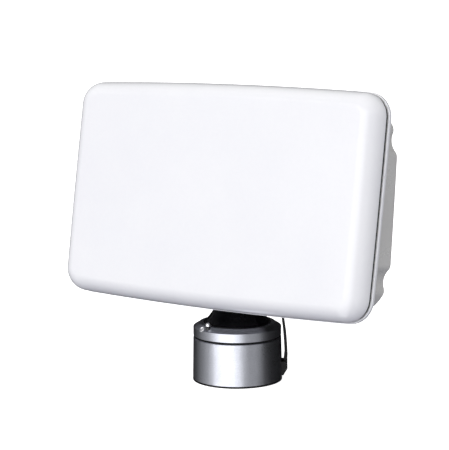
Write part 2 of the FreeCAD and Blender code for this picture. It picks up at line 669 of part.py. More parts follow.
def make_neck():
    """Hollow casting: flared foot, low crown, arm at the back that ends in the tilt knuckle."""
    body = turned("neck", [
        ("cable_radius", "collar_top"), ("neck_foot_radius", "collar_top"),
        ("neck_foot_radius", "collar_top + 0.5"), ("31", "61.2"),
        ("neck_mid_radius", "neck_mid_height"), ("26.2", "67"),
        ("neck_top_radius", "neck_shoulder"), ("neck_crown_radius", "neck_top"),
        ("0", "neck_top"), ("0", "neck_top - neck_roof"), ("cable_radius", "neck_top - neck_roof")])
    arm = new_sketch(body, "YZ_Plane")
    add_polygon(arm, [
        ("arm_front", "neck_top - 3"), ("arm_back", "neck_top - 11"), ("arm_back", "80"),
        ("tilt_y + knuckle_radius", "tilt_z"), ("tilt_y", "tilt_z + 2"),
        ("tilt_y - knuckle_radius", "tilt_z")])
    pad(body, arm, "2 * arm_half_width", both=True)
    knuckle = new_sketch(body, "YZ_Plane")
    add_circle(knuckle, "tilt_y", "tilt_z", "knuckle_radius")
    pad(body, knuckle, "2 * arm_half_width", both=True)
    bore = new_sketch(body, "YZ_Plane")
    add_circle(bore, "tilt_y", "tilt_z", "tilt_bolt_radius + tilt_fit")
    pocket(body, bore, "4 * arm_half_width", both=True)
    outlet = new_sketch(body, "XZ_Plane", "-8")
    add_circle(outlet, "0", "outlet_height", "outlet_radius")
    pocket(body, outlet, "arm_back")
    threads = new_sketch(body, "XY_Plane", "collar_top - 1")
    for turn in NECK_SCREW_TURNS:
        add_circle(threads, *spot_on_circle("neck_screw_circle", turn), "neck_thread_radius")
    pocket(body, threads, "6.5", back=True)
    keep(body)


def make_neck_screws():
    master = screw("neck_screw", "3.4", "3.2", "1.9", "13", "1.7")
    over = FreeCAD.Rotation(vector(1, 0, 0), 180)
    places = []
    for turn in NECK_SCREW_TURNS:
        circle = value("neck_screw_circle")
        spot = vector(circle * math.cos(math.radians(turn)), circle * math.sin(math.radians(turn)),
                      value("collar_bottom + neck_seat_depth"))
        places.append(FreeCAD.Placement(spot, over))
    keep(group("neck_screws", master, places))


def make_cable_grommet():
    """Rubber bush in the neck's rear outlet."""
    body = turned("cable_grommet", [
        ("3.2", "0"), ("outlet_radius", "0"), ("outlet_radius", "6"), ("6.6", "6"), ("6.6", "7.4"),
        ("5.8", "8.4"), ("3.8", "8.4"), ("3.2", "7.8")])
    lie = FreeCAD.Rotation(vector(1, 0, 0), -90)
    spot = vector(0, value("arm_back - 6"), value("outlet_height"))
    body.Placement = FreeCAD.Placement(spot, lie)
    keep(body)


# --- pod ---------------------------------------------------------------------------------------

def case_screw_spots():
    """The eight case screws: two on each short side, two on each long side."""
    spots = []
    for hand in ("", "-"):
        for rise in ("", "-"):
            spots.append((hand + "(pod_half_width - screw_inset)", rise + "side_screw_height"))
            spots.append((hand + "end_screw_across", rise + "(pod_half_height - screw_inset)"))
    return spots


def scoop_spots():
    """Axes of the half-round pockets that let a driver reach the case screws."""
    spots = []
    for hand in ("", "-"):
        for rise in ("", "-"):
            spots.append((hand + "(pod_half_width - block_inset + scoop_out)",
                          rise + "side_screw_height"))
            spots.append((hand + "end_screw_across",
                          rise + "(pod_half_height - block_inset + scoop_out)"))
    return spots


def front_block(label, inset, start, depth, roll):
    """Pod outline raised forwards to depth, with its front edge rolled over."""
    body = new_body(label)
    outline = new_sketch(body, "XZ_Plane", start)
    add_case_outline(outline, inset)
    pad(body, outline, "%s - (%s)" % (depth, start))
    front = -value(depth)
    dress(body, "Fillet", roll, lambda spot: abs(spot.y - front) < 0.01)
    return body


def make_front_shell():
    shell = front_block("front_block", "0", "joint_half", "front_depth", "front_roll")
    hollow = front_block("front_hollow", "wall", "joint_half", "front_depth - wall",
                         "front_roll - wall")
    bosses = new_sketch(hollow, "XZ_Plane", "joint_half - 1")
    holes = new_sketch(shell, "XZ_Plane", "joint_half")
    for across, up in case_screw_spots():
        add_circle(bosses, across, up, "boss_radius")
        add_circle(holes, across, up, "insert_radius")
    pocket(hollow, bosses, "front_depth + 2", back=True)
    pocket(shell, holes, "insert_length + 2", back=True)
    keep(place_in_pod(cut("front_shell", shell, hollow)))


def make_case_gasket():
    body = new_body("case_gasket")
    outline = new_sketch(body, "XZ_Plane")
    add_case_outline(outline, "0.9")
    pad(body, outline, "2 * joint_half", both=True)
    middle = new_sketch(body, "XZ_Plane")
    add_case_outline(middle, "block_inset + wall + 4")
    pocket(body, middle, "4 * joint_half", both=True)
    holes = new_sketch(body, "XZ_Plane")
    for across, up in case_screw_spots():
        add_circle(holes, across, up, "case_screw_radius + 0.5")
    pocket(body, holes, "4 * joint_half", both=True)
    keep(place_in_pod(body))


def rear_block(label, inset, thinner, scoop_growth, scoop_start):
    """The rear half's body: deep at the bottom, shallower at the top, scooped at each screw."""
    body = new_body(label)
    outline = new_sketch(body, "XZ_Plane", "-joint_half")
    add_case_outline(outline, inset, "block_corner")
    pad(body, outline, "rear_depth_bottom + 2", back=True)
    scoops = new_sketch(body, "XZ_Plane", "-(%s)" % scoop_start)
    for across, up in scoop_spots():
        add_circle(scoops, across, up, "scoop_radius + " + scoop_growth)
    pocket(body, scoops, "rear_depth_bottom + 10")
    if value(thinner) == 0:
        start, deep = value(scoop_start), value("joint_half + rear_depth_bottom + 2")

        def beside_scoop(spot):
            along_case = start + 0.1 < spot.y < deep - 0.1
            near = min(math.hypot(spot.x - value(across), spot.z - value(up))
                       for across, up in scoop_spots())
            return along_case and abs(near - value("scoop_radius")) < 0.01

        dress(body, "Fillet", "scoop_round", beside_scoop)
    slope = new_sketch(body, "YZ_Plane")
    reach = "(pod_half_height + 4)"
    add_polygon(slope, [
        ("rear_depth_top - (%s)" % thinner, reach), ("rear_depth_bottom + 30", reach),
        ("rear_depth_bottom + 30", "-" + reach), ("rear_depth_bottom - (%s)" % thinner, "-" + reach)])
    pocket(body, slope, "3 * pod_half_width", both=True)
    top, bottom = value("rear_depth_top - (%s)" % thinner), value("rear_depth_bottom - (%s)" % thinner)
    half = value(reach)

    def on_slope(spot):
        depth = top + (bottom - top) * (half - spot.z) / (2 * half)
        return abs(spot.y - depth) < 0.02

    dress(body, "Fillet", "rear_edge - (%s)" % thinner, on_slope)
    hump = new_sketch(body, "XZ_Plane", "-(rear_depth_top - 6)")
    add_box(hump, "-(hump_half_width - (%s))" % thinner, "hump_half_width - (%s)" % thinner,
            "hump_bottom + (%s)" % thinner, "hump_top - (%s)" % thinner)
    pad(body, hump, "hump_depth - (%s) - rear_depth_top + 6" % thinner, back=True)
    back = value("hump_depth - (%s)" % thinner)
    dress(body, "Fillet", "hump_edge - (%s)" % thinner, lambda spot: abs(spot.y - back) < 0.02)
    return body


def make_rear_shell():
    shell = rear_block("rear_block", "block_inset", "0", "0", "flange_back")
    hollow = rear_block("rear_hollow", "block_inset + wall", "wall", "scoop_wall", "joint_half - 1")
    flange = new_sketch(shell, "XZ_Plane", "-joint_half")
    add_case_outline(flange, "0")
    pad(shell, flange, "flange_back - joint_half", back=True)
    seats = new_sketch(shell, "XZ_Plane", "-(rear_depth_top + 6)")
    add_box(seats, "-seat_half_width", "seat_half_width", "seat_bottom", "seat_top")
    add_circle(seats, "gland_across", "gland_up", "gland_pad")
    add_circle(seats, "-gland_across", "gland_up", "vent_pad")
    pad(shell, seats, "seat_depth - rear_depth_top - 6", back=True)
    holes = new_sketch(shell, "XZ_Plane")
    for across, up in case_screw_spots():
        add_circle(holes, across, up, "case_screw_radius + 0.3")
    pocket(shell, holes, "flange_back + 1")
    through = new_sketch(shell, "XZ_Plane", "-(rear_depth_top)")
    add_circle(through, "gland_across", "gland_up", "gland_hole_radius")
    add_circle(through, "-gland_across", "gland_up", "vent_hole_radius")
    for across, up in bracket_bolt_spots():
        add_circle(through, across, up, "bolt_hole_radius")
    pocket(shell, through, "30")
    keep(place_in_pod(cut("rear_shell", shell, hollow)))


def bracket_bolt_spots():
    spots = []
    for hand in ("", "-"):
        for step in ("+", "-"):
            spots.append((hand + "bolt_across", "bolt_up %s bolt_step" % step))
    return spots


def pod_place(across, back, up, turn):
    """Placement in the row frame of a fastener given in the pod frame."""
    lean = FreeCAD.Rotation(vector(-1, 0, 0), value("pod_lean"))
    origin = vector(0, value(POD_Y), value(POD_Z))
    return FreeCAD.Placement(origin + lean.multVec(vector(across, back, up)), lean.multiply(turn))


def make_case_fasteners():
    facing_back = FreeCAD.Rotation(vector(1, 0, 0), -90)
    master = screw("case_screw", "case_screw_head", "case_screw_head_height", "case_screw_radius",
                   "flange_back + 6", "1.75")
    places = [pod_place(value(across), value("flange_back"), value(up), facing_back)
              for across, up in case_screw_spots()]
    keep(group("case_screws", master, places))
    insert = ring("case_insert", "case_screw_radius + 0.02", "insert_radius", "0", "insert_length")
    facing_front = FreeCAD.Rotation(vector(1, 0, 0), 90)
    places = [pod_place(value(across), -value("joint_half"), value(up), facing_front)
              for across, up in case_screw_spots()]
    keep(group("case_inserts", insert, places))


def make_pod_bracket():
    """Plate on the rear seat with two ears that straddle the neck's knuckle."""
    body = new_body("pod_bracket")
    plate = new_sketch(body, "XZ_Plane", "-seat_depth")
    add_box(plate, "-bracket_plate_half_width", "bracket_plate_half_width",
            "bracket_plate_bottom", "bracket_plate_top")
    pad(body, plate, "plate_thick", back=True)
    corner_across = value("bracket_plate_half_width")

    def plate_corner(spot):
        return abs(abs(spot.x) - corner_across) < 0.01 and spot.y < value("seat_depth + plate_thick")

    dress(body, "Fillet", "3.5", lambda spot: plate_corner(spot) and (
        abs(spot.z - value("bracket_plate_bottom")) < 0.01
        or abs(spot.z - value("bracket_plate_top")) < 0.01))
    for start in ("ear_inner", "-(ear_inner + ear_thick)"):
        ear = new_sketch(body, "YZ_Plane", start)
        add_polygon(ear, [
            ("seat_depth", "bracket_plate_top"), ("seat_depth", "axis_up - ear_radius"),
            ("axis_back", "axis_up - ear_radius"), ("axis_back + ear_radius", "axis_up"),
            ("axis_back + 7", "bracket_plate_bottom + 8"),
            ("seat_depth + plate_thick", "bracket_plate_top")])
        pad(body, ear, "ear_thick")
        tip = new_sketch(body, "YZ_Plane", start)
        add_circle(tip, "axis_back", "axis_up", "ear_radius")
        pad(body, tip, "ear_thick")
    bore = new_sketch(body, "YZ_Plane")
    add_circle(bore, "axis_back", "axis_up", "tilt_bolt_radius")
    pocket(body, bore, "8 * ear_inner", both=True)
    holes = new_sketch(body, "XZ_Plane", "-(seat_depth - 1)")
    for across, up in bracket_bolt_spots():
        add_circle(holes, across, up, "2.6")
    pocket(body, holes, "plate_thick + 2")
    keep(place_in_pod(body))


def make_bracket_bolts():
    facing_back = FreeCAD.Rotation(vector(1, 0, 0), -90)
    master = screw("bracket_bolt", "4.2", "4", "2.4", "17.5", "2.0")
    back = value("seat_depth + plate_thick")
    places = [pod_place(value(across), back, value(up), facing_back)
              for across, up in bracket_bolt_spots()]
    keep(group("bracket_bolts", master, places))


def make_tilt_hardware():
    """Cross bolt, lock nut and the two friction washers beside the knuckle."""
    centre_back, centre_up = value("axis_back"), value("axis_up")
    facing_right = FreeCAD.Rotation(vector(0, 1, 0), 90)
    outer = value("ear_inner + ear_thick")
    bolt = screw("tilt_bolt", "6.5", "5", "tilt_bolt_radius", "2 * (ear_inner + ear_thick) + 8", "3")
    bolt.Placement = pod_place(outer, centre_back, centre_up, facing_right)
    keep(bolt)
    nut = new_body("tilt_nut")
    flats = new_sketch(nut, "XY_Plane")
    hexagon(flats, "7.4")
    add_circle(flats, "0", "0", "tilt_bolt_radius")
    pad(nut, flats, "6.5")
    nut.Placement = pod_place(-outer - 6.5, centre_back, centre_up, facing_right)
    keep(nut)
    washer = ring("tilt_washer", "tilt_bolt_radius", "9.5", "0", "0.7")
    inner = value("ear_inner")
    places = [pod_place(inner - 0.7, centre_back, centre_up, facing_right),
              pod_place(-inner, centre_back, centre_up, facing_right)]
    keep(group("friction_washers", washer, places))


def make_backing_plate():
    """Steel strip inside the case that spreads the bracket's load."""
    body = new_body("backing_plate")
    strip = new_sketch(body, "XZ_Plane", "-backing_front")
    for hand in ("", "-"):
        left, right = ("bolt_across - 6", "bolt_across + 6")
        if hand:
            left, right = ("-(bolt_across + 6)", "-(bolt_across - 6)")
        add_box(strip, left, right, "bolt_up - bolt_step - 6", "bolt_up + bolt_step + 6")
    pad(body, strip, "3", back=True)
    for across, up in bracket_bolt_spots():
        hole = new_sketch(body, "XZ_Plane", "-(backing_front - 1)")
        add_circle(hole, across, up, "2.4")
        pocket(body, hole, "8")
    keep(place_in_pod(body))


def make_cable_gland():
    """Gland body through the rear wall, its dome nut and the blind rubber seal inside the nut."""
    facing_back = FreeCAD.Rotation(vector(1, 0, 0), -90)
    across, up, face = value("gland_across"), value("gland_up"), value("seat_depth")
    body = new_body("cable_gland")
    neck = new_sketch(body, "XZ_Plane", "-(seat_depth - 8)")
    add_circle(neck, "gland_across", "gland_up", "7.9")
    pad(body, neck, "8 + 14", back=True)
    collar = new_sketch(body, "XZ_Plane", "-seat_depth")
    add_circle(collar, "gland_across", "gland_up", "11.5")
    pad(body, collar, "5", back=True)
    bore = new_sketch(body, "XZ_Plane", "-(seat_depth - 9)")
    add_circle(bore, "gland_across", "gland_up", "5.4")
    pocket(body, bore, "40")
    keep(place_in_pod(body))
    nut = turned("gland_nut", [
        ("8", "0"), ("10.6", "0"), ("10.6", "6.5"), ("8.2", "11.5"), ("5.2", "11.5"),
        ("5.2", "9.4"), ("8", "9.4")])
    nut.Placement = pod_place(across, face + 5.2, up, facing_back)
    keep(nut)
    seal = turned("gland_seal", [
        ("3.4", "0"), ("5.3", "0"), ("5.3", "9"), ("0", "9"), ("0", "7.8"), ("3.4", "7.8")])
    seal.Placement = pod_place(across, face + 5, up, facing_back)
    keep(seal)


def make_breather_vent():
    facing_back = FreeCAD.Rotation(vector(1, 0, 0), -90)
    body = turned("breather_vent", [
        ("0", "-6"), ("3.9", "-6"), ("3.9", "0"), ("7.5", "0"), ("7.5", "2.4"), ("6.2", "3.6"),
        ("0", "3.6")])
    spot = (-value("gland_across"), value("seat_depth"), value("gland_up"))
    body.Placement = pod_place(spot[0], spot[1], spot[2], facing_back)
    keep(body)


# --- build -------------------------------------------------------------------------------------

make_foot_gasket()
make_deck_plate()
make_base_housing()
make_housing_screws()
make_bearing()
make_lever_bracket()
make_bracket_screws()
make_lever_pin()
make_plunger_bush()
make_clamp_lever()
make_brake()
make_spindle()
make_collar()
make_lock_screw()
make_detent_button()
make_neck()
make_neck_screws()
make_cable_grommet()
make_front_shell()
make_case_gasket()
make_rear_shell()
make_case_fasteners()
make_pod_bracket()
make_bracket_bolts()
make_tilt_hardware()
make_backing_plate()
make_cable_gland()
make_breather_vent()

doc.recompute()
for item in doc.Objects:
    if "Invalid" in item.State or "Error" in item.State:
        raise RuntimeError("%s failed: %s" % (item.Label, item.State))
for node in NODES:
    if node.Shape.isNull() or not node.Shape.isValid() or node.Shape.Volume <= 0:
        raise RuntimeError("%s has no valid solid" % node.Label)

os.makedirs("parts", exist_ok=True)
for node in NODES:
    node.Shape.exportStep("parts/%s.step" % node.Label)
    box = node.Shape.BoundBox
    print("%-18s solids %d  volume %9.1f mm3  z %.1f..%.1f" % (
        node.Label, len(node.Shape.Solids), node.Shape.Volume, box.ZMin, box.ZMax))
print("%d nodes" % len(NODES))
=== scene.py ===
import math

import bmesh
import bpy
from mathutils import Matrix, Vector


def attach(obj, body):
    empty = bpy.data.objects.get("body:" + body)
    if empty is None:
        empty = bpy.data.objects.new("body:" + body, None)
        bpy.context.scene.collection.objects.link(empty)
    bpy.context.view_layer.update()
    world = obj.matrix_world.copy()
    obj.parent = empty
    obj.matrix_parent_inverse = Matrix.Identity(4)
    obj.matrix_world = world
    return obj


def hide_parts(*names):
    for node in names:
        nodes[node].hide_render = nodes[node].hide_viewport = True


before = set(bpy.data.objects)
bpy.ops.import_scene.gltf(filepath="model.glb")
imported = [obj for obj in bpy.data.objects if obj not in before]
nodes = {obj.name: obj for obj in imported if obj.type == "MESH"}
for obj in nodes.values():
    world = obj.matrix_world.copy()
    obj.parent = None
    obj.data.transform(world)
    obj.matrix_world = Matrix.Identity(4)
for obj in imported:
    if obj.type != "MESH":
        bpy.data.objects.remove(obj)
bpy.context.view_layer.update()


# === Foot gasket ================================================================================
# Die-cut ring of black nitrile rubber between the deck and the pedestal.  Its edge is the thin
# black line under the housing.  The rain seal, the cable grommet and the gland's seal are moulded
# from the same rubber.

GASKET_EDGE = 0.0003
RUBBER_BLACK = (0.006, 0.006, 0.007, 1.0)
RUBBER_BLOOM = (0.014, 0.014, 0.015, 1.0)
NOISE_LOW, NOISE_HIGH = 0.32, 0.68
COLOUR_A, COLOUR_B, COLOUR_OUT = 6, 7, 2    # a mix node's colour sockets share others' names
WELD_DISTANCE = 2e-6
FLAT_WITHIN = math.radians(0.4)


def effect_group(name, inputs, outputs):
    """An empty shader node group with named inputs (name, socket, value) and outputs."""
    group = bpy.data.node_groups.new(name, "ShaderNodeTree")
    for label, kind, value in inputs:
        socket = group.interface.new_socket(label, in_out="INPUT", socket_type=kind)
        socket.default_value = value
    for label, kind in outputs:
        group.interface.new_socket(label, in_out="OUTPUT", socket_type=kind)
    entry = group.nodes.new("NodeGroupInput")
    leave = group.nodes.new("NodeGroupOutput")
    return group, entry, leave


def noise(tree, scale, detail=2.0):
    """Noise on the piece's own coordinates, with its scale from a socket."""
    place = tree.nodes.new("ShaderNodeTexCoord")
    texture = tree.nodes.new("ShaderNodeTexNoise")
    texture.inputs["Detail"].default_value = detail
    tree.links.new(place.outputs["Object"], texture.inputs["Vector"])
    tree.links.new(scale, texture.inputs["Scale"])
    return texture.outputs["Fac"]


def make_grain_group():
    """Fine and coarse grain of a moulded, blasted or coated skin, as a height."""
    group, entry, leave = effect_group(
        "skin grain",
        [("Fine scale", "NodeSocketFloat", 2500.0), ("Coarse scale", "NodeSocketFloat", 300.0),
         ("Coarse share", "NodeSocketFloat", 0.3)],
        [("Height", "NodeSocketFloat")])
    fine = noise(group, entry.outputs["Fine scale"])
    coarse = noise(group, entry.outputs["Coarse scale"])
    mix = group.nodes.new("ShaderNodeMix")
    group.links.new(entry.outputs["Coarse share"], mix.inputs["Factor"])
    group.links.new(fine, mix.inputs["A"])
    group.links.new(coarse, mix.inputs["B"])
    group.links.new(mix.outputs["Result"], leave.inputs["Height"])
    return group


def make_drift_group():
    """Slow drift between two colours and between two roughnesses, with a faint speckle."""
    group, entry, leave = effect_group(
        "finish drift",
        [("Colour", "NodeSocketColor", (0.5, 0.5, 0.5, 1.0)),
         ("Other colour", "NodeSocketColor", (0.5, 0.5, 0.5, 1.0)),
         ("Smooth", "NodeSocketFloat", 0.3), ("Rough", "NodeSocketFloat", 0.4),
         ("Patch scale", "NodeSocketFloat", 25.0), ("Speckle scale", "NodeSocketFloat", 900.0),
         ("Speckle share", "NodeSocketFloat", 0.25)],
        [("Colour", "NodeSocketColor"), ("Roughness", "NodeSocketFloat")])
    patches = noise(group, entry.outputs["Patch scale"], detail=3.0)
    speckle = noise(group, entry.outputs["Speckle scale"], detail=1.0)
    blend = group.nodes.new("ShaderNodeMix")
    group.links.new(entry.outputs["Speckle share"], blend.inputs["Factor"])
    group.links.new(patches, blend.inputs["A"])
    group.links.new(speckle, blend.inputs["B"])
    spread = group.nodes.new("ShaderNodeMapRange")
    spread.inputs["From Min"].default_value = NOISE_LOW
    spread.inputs["From Max"].default_value = NOISE_HIGH
    group.links.new(blend.outputs["Result"], spread.inputs["Value"])
    tint = group.nodes.new("ShaderNodeMix")
    tint.data_type = "RGBA"
    group.links.new(spread.outputs["Result"], tint.inputs["Factor"])
    group.links.new(entry.outputs["Colour"], tint.inputs[COLOUR_A])
    group.links.new(entry.outputs["Other colour"], tint.inputs[COLOUR_B])
    group.links.new(tint.outputs[COLOUR_OUT], leave.inputs["Colour"])
    gloss = group.nodes.new("ShaderNodeMix")
    group.links.new(spread.outputs["Result"], gloss.inputs["Factor"])
    group.links.new(entry.outputs["Smooth"], gloss.inputs["A"])
    group.links.new(entry.outputs["Rough"], gloss.inputs["B"])
    group.links.new(gloss.outputs["Result"], leave.inputs["Roughness"])
    return group


grain_group = make_grain_group()
drift_group = make_drift_group()


def finish_material(name, colour, other, smooth, rough, bump, metallic=0.0, fine=2500.0,
                    coarse=300.0, coarse_share=0.3, patch=25.0, speckle=900.0,
                    speckle_share=0.25, coat=0.0, specular=0.5):
    """A material whose colour, roughness and relief vary over the surface."""
    material = bpy.data.materials.new(name)
    material.use_nodes = True
    tree = material.node_tree
    shader = tree.nodes["Principled BSDF"]
    shader.inputs["Metallic"].default_value = metallic
    shader.inputs["Specular IOR Level"].default_value = specular
    shader.inputs["Coat Weight"].default_value = coat
    drift = tree.nodes.new("ShaderNodeGroup")
    drift.node_tree = drift_group
    drift.inputs["Colour"].default_value = colour
    drift.inputs["Other colour"].default_value = other
    drift.inputs["Smooth"].default_value = smooth
    drift.inputs["Rough"].default_value = rough
    drift.inputs["Patch scale"].default_value = patch
    drift.inputs["Speckle scale"].default_value = speckle
    drift.inputs["Speckle share"].default_value = speckle_share
    tree.links.new(drift.outputs["Colour"], shader.inputs["Base Color"])
    tree.links.new(drift.outputs["Roughness"], shader.inputs["Roughness"])
    grain = tree.nodes.new("ShaderNodeGroup")
    grain.node_tree = grain_group
    grain.inputs["Fine scale"].default_value = fine
    grain.inputs["Coarse scale"].default_value = coarse
    grain.inputs["Coarse share"].default_value = coarse_share
    relief = tree.nodes.new("ShaderNodeBump")
    relief.inputs["Strength"].default_value = 1.0
    relief.inputs["Distance"].default_value = bump
    tree.links.new(grain.outputs["Height"], relief.inputs["Height"])
    tree.links.new(relief.outputs["Normal"], shader.inputs["Normal"])
    return material


def coat_node(name, material):
    """Gives a CAD node another material in every slot."""
    piece = nodes[name]
    piece.data.materials.clear()
    piece.data.materials.append(material)
    return piece


def placed(name, data):
    """A new object with this data, at the origin of the scene."""
    thing = bpy.data.objects.new(name, data)
    bpy.context.scene.collection.objects.link(thing)
    return thing


def merged_copy(node, name):
    """A copy of a CAD node with its loose triangles joined up and flat faces made whole."""
    mesh = bmesh.new()
    mesh.from_mesh(nodes[node].data)
    bmesh.ops.remove_doubles(mesh, verts=mesh.verts, dist=WELD_DISTANCE)
    bmesh.ops.dissolve_limit(mesh, angle_limit=FLAT_WITHIN, verts=mesh.verts, edges=mesh.edges)
    data = bpy.data.meshes.new(name)
    mesh.to_mesh(data)
    mesh.free()
    return placed(name, data)


def bake_modifiers(piece):
    """Turns the evaluated object into a plain mesh and drops its modifiers."""
    bpy.context.view_layer.update()
    graph = bpy.context.evaluated_depsgraph_get()
    result = bpy.data.meshes.new_from_object(piece.evaluated_get(graph))
    piece.modifiers.clear()
    piece.data = result
    return piece


def smooth_shaded(piece, angle=32.0):
    """Shades the piece smooth, but for edges sharper than the angle in degrees."""
    piece.data.shade_smooth()
    piece.data.set_sharp_from_angle(angle=math.radians(angle))
    return piece


def broken_edges(node, name, material, width, angle=35.0, segments=2):
    """The CAD node again, its sharp edges broken by a small radius and its flat faces kept flat."""
    piece = merged_copy(node, name)
    bevel = piece.modifiers.new("edge break", "BEVEL")
    bevel.width = width
    bevel.segments = segments
    bevel.limit_method = "ANGLE"
    bevel.angle_limit = math.radians(angle)
    bevel.use_clamp_overlap = True
    bake_modifiers(piece)
    smooth_shaded(piece)
    flat = piece.modifiers.new("flat faces stay flat", "WEIGHTED_NORMAL")
    flat.keep_sharp = True
    bake_modifiers(piece)
    piece.data.materials.clear()
    piece.data.materials.append(material)
    return piece


def stands_for(piece, node, body):
    """piece rides on body in place of the CAD node, which is hidden."""
    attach(piece, body)
    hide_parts(node)
    return piece


black_rubber = finish_material("black rubber", RUBBER_BLACK, RUBBER_BLOOM, smooth=0.55, rough=0.75,
                               bump=0.00008, fine=1800.0, coarse=400.0, specular=0.15)
stands_for(broken_edges("foot_gasket", "foot_gasket_ring", black_rubber, GASKET_EDGE),
           "foot_gasket", "base")


# === Deck plate and housing screws ==============================================================
# Turned aluminium plate that is bolted to the deck, with three posts.  The housing is pulled down
# on it by three socket screws under the collar.

TURNED_ALUMINIUM = (0.55, 0.56, 0.57, 1.0)
TURNED_ALUMINIUM_DULL = (0.42, 0.43, 0.45, 1.0)
STEEL_BRIGHT = (0.58, 0.57, 0.56, 1.0)
STEEL_DULL = (0.42, 0.41, 0.41, 1.0)

turned_aluminium = finish_material("turned aluminium", TURNED_ALUMINIUM, TURNED_ALUMINIUM_DULL,
                                   smooth=0.25, rough=0.42, bump=0.00003, metallic=1.0)
stainless = finish_material("machined stainless", STEEL_BRIGHT, STEEL_DULL, smooth=0.18, rough=0.34,
                            bump=0.00002, metallic=1.0, speckle=2500.0)
coat_node("deck_plate", turned_aluminium)
coat_node("housing_screws", stainless)


# === Pedestal housing and collar ================================================================
# Two turned aluminium pieces, glass-bead blasted and anodised silver grey: a drafted cup that
# covers the bearing, and the collar that swivels on it with the neck.

ANODISED = (0.53, 0.545, 0.60, 1.0)
ANODISED_DARK = (0.41, 0.42, 0.465, 1.0)
HOUSING_EDGE = 0.00035
COLLAR_ANGLE = 12.0    # degrees; breaks the collar's shallow edges too

anodised = finish_material("blasted anodised aluminium", ANODISED, ANODISED_DARK, smooth=0.27,
                           rough=0.36, bump=0.00006, metallic=1.0, fine=2600.0, coarse=900.0,
                           coarse_share=0.35, patch=60.0, speckle=1300.0, speckle_share=0.6)
stands_for(broken_edges("base_housing", "pedestal_housing", anodised, HOUSING_EDGE),
           "base_housing", "base")
stands_for(broken_edges("collar_ring", "swivel_collar", anodised, HOUSING_EDGE,
                        angle=COLLAR_ANGLE),
           "collar_ring", "turret")


# === Bearing, bush and rain seal ================================================================
# Turned acetal bush, ring and washers that carry the turret, the brake shoe and the tilt hinge's
# washers in the same plastic, and the rubber lip that fills the groove between the housing and the
# collar.

ACETAL_WHITE = (0.74, 0.73, 0.68, 1.0)
ACETAL_SHADE = (0.66, 0.65, 0.60, 1.0)
ACETAL_BLACK = (0.016, 0.016, 0.017, 1.0)

natural_acetal = finish_material("natural acetal", ACETAL_WHITE, ACETAL_SHADE, smooth=0.35,
                                 rough=0.5, bump=0.00002)
black_acetal = finish_material("black acetal", ACETAL_BLACK, RUBBER_BLOOM, smooth=0.35, rough=0.5,
                               bump=0.00002)
for name in ("swivel_bush", "thrust_washer", "brake_shoe", "friction_washers"):
    coat_node(name, natural_acetal)
coat_node("bearing_ring", black_acetal)
coat_node("rain_seal", black_rubber)


# === Clamp lever and bracket ====================================================================
# Forged steel lever on a small bracket, both powder coated black.  The lever's eccentric boss
# pushes a plunger that locks the swivel.

POWDER_BLACK = (0.006, 0.006, 0.007, 1.0)
POWDER_WORN = (0.011, 0.011, 0.012, 1.0)
BRASS = (0.62, 0.46, 0.18, 1.0)
BRASS_DULL = (0.45, 0.33, 0.13, 1.0)
BRACKET_EDGE, LEVER_EDGE = 0.0003, 0.0006

powder_coat = finish_material("black powder coat", POWDER_BLACK, POWDER_WORN, smooth=0.32,
                              rough=0.45, bump=0.00005, fine=2200.0, coarse=700.0,
                              coarse_share=0.5, specular=0.12)
machined_brass = finish_material("machined brass", BRASS, BRASS_DULL, smooth=0.2, rough=0.4,
                                 bump=0.00002, metallic=1.0)
stands_for(broken_edges("lever_bracket", "clamp_bracket", powder_coat, BRACKET_EDGE),
           "lever_bracket", "base")
stands_for(broken_edges("clamp_lever", "clamp_handle", powder_coat, LEVER_EDGE, segments=3),
           "clamp_lever", "lever")
for name in ("bracket_screws", "thrust_plunger"):
    coat_node(name, stainless)
coat_node("lever_pin", powder_coat)
coat_node("plunger_bush", machined_brass)


# === Spindle and its nut ========================================================================
# Stainless tube that carries the cables up through the pedestal, locked from below by its nut.
# The neck's screws and the wound spring under the push button are stainless as well.

for name in ("spindle", "retaining_nut", "neck_screws", "button_spring"):
    coat_node(name, stainless)


# === Neck =======================================================================================
# Hollow aluminium casting in gloss black paint: flared foot, low crown, and an arm at the back
# that ends in the knuckle of the tilt hinge.

PAINT_BLACK = (0.002, 0.002, 0.003, 1.0)
PAINT_HAZE = (0.004, 0.004, 0.005, 1.0)
NECK_EDGE, NECK_ANGLE = 0.0008, 40.0

gloss_black = finish_material("gloss black paint", PAINT_BLACK, PAINT_HAZE, smooth=0.10, rough=0.20,
                              bump=0.00004, fine=500.0, coarse=140.0, coarse_share=0.7,
                              specular=0.12)
stands_for(broken_edges("neck", "cast_neck", gloss_black, NECK_EDGE, angle=NECK_ANGLE,
                        segments=3),
           "neck", "turret")
coat_node("cable_grommet", black_rubber)


# === Lock screw and push button =================================================================
# Lock screw: turned stainless with a polished, rounded rim round its hexagon socket, screwed into
# the collar's shoulder at a slant.  Beside it the push button of the swivel stop: a polished steel
# ball on a black acetal stem, with a spring under it.

POLISHED = (0.97, 0.97, 0.98, 1.0)
POLISHED_DULL = (0.90, 0.90, 0.92, 1.0)

polished = finish_material("polished stainless", POLISHED, POLISHED_DULL, smooth=0.38, rough=0.48,
                           bump=0.00001, metallic=1.0)

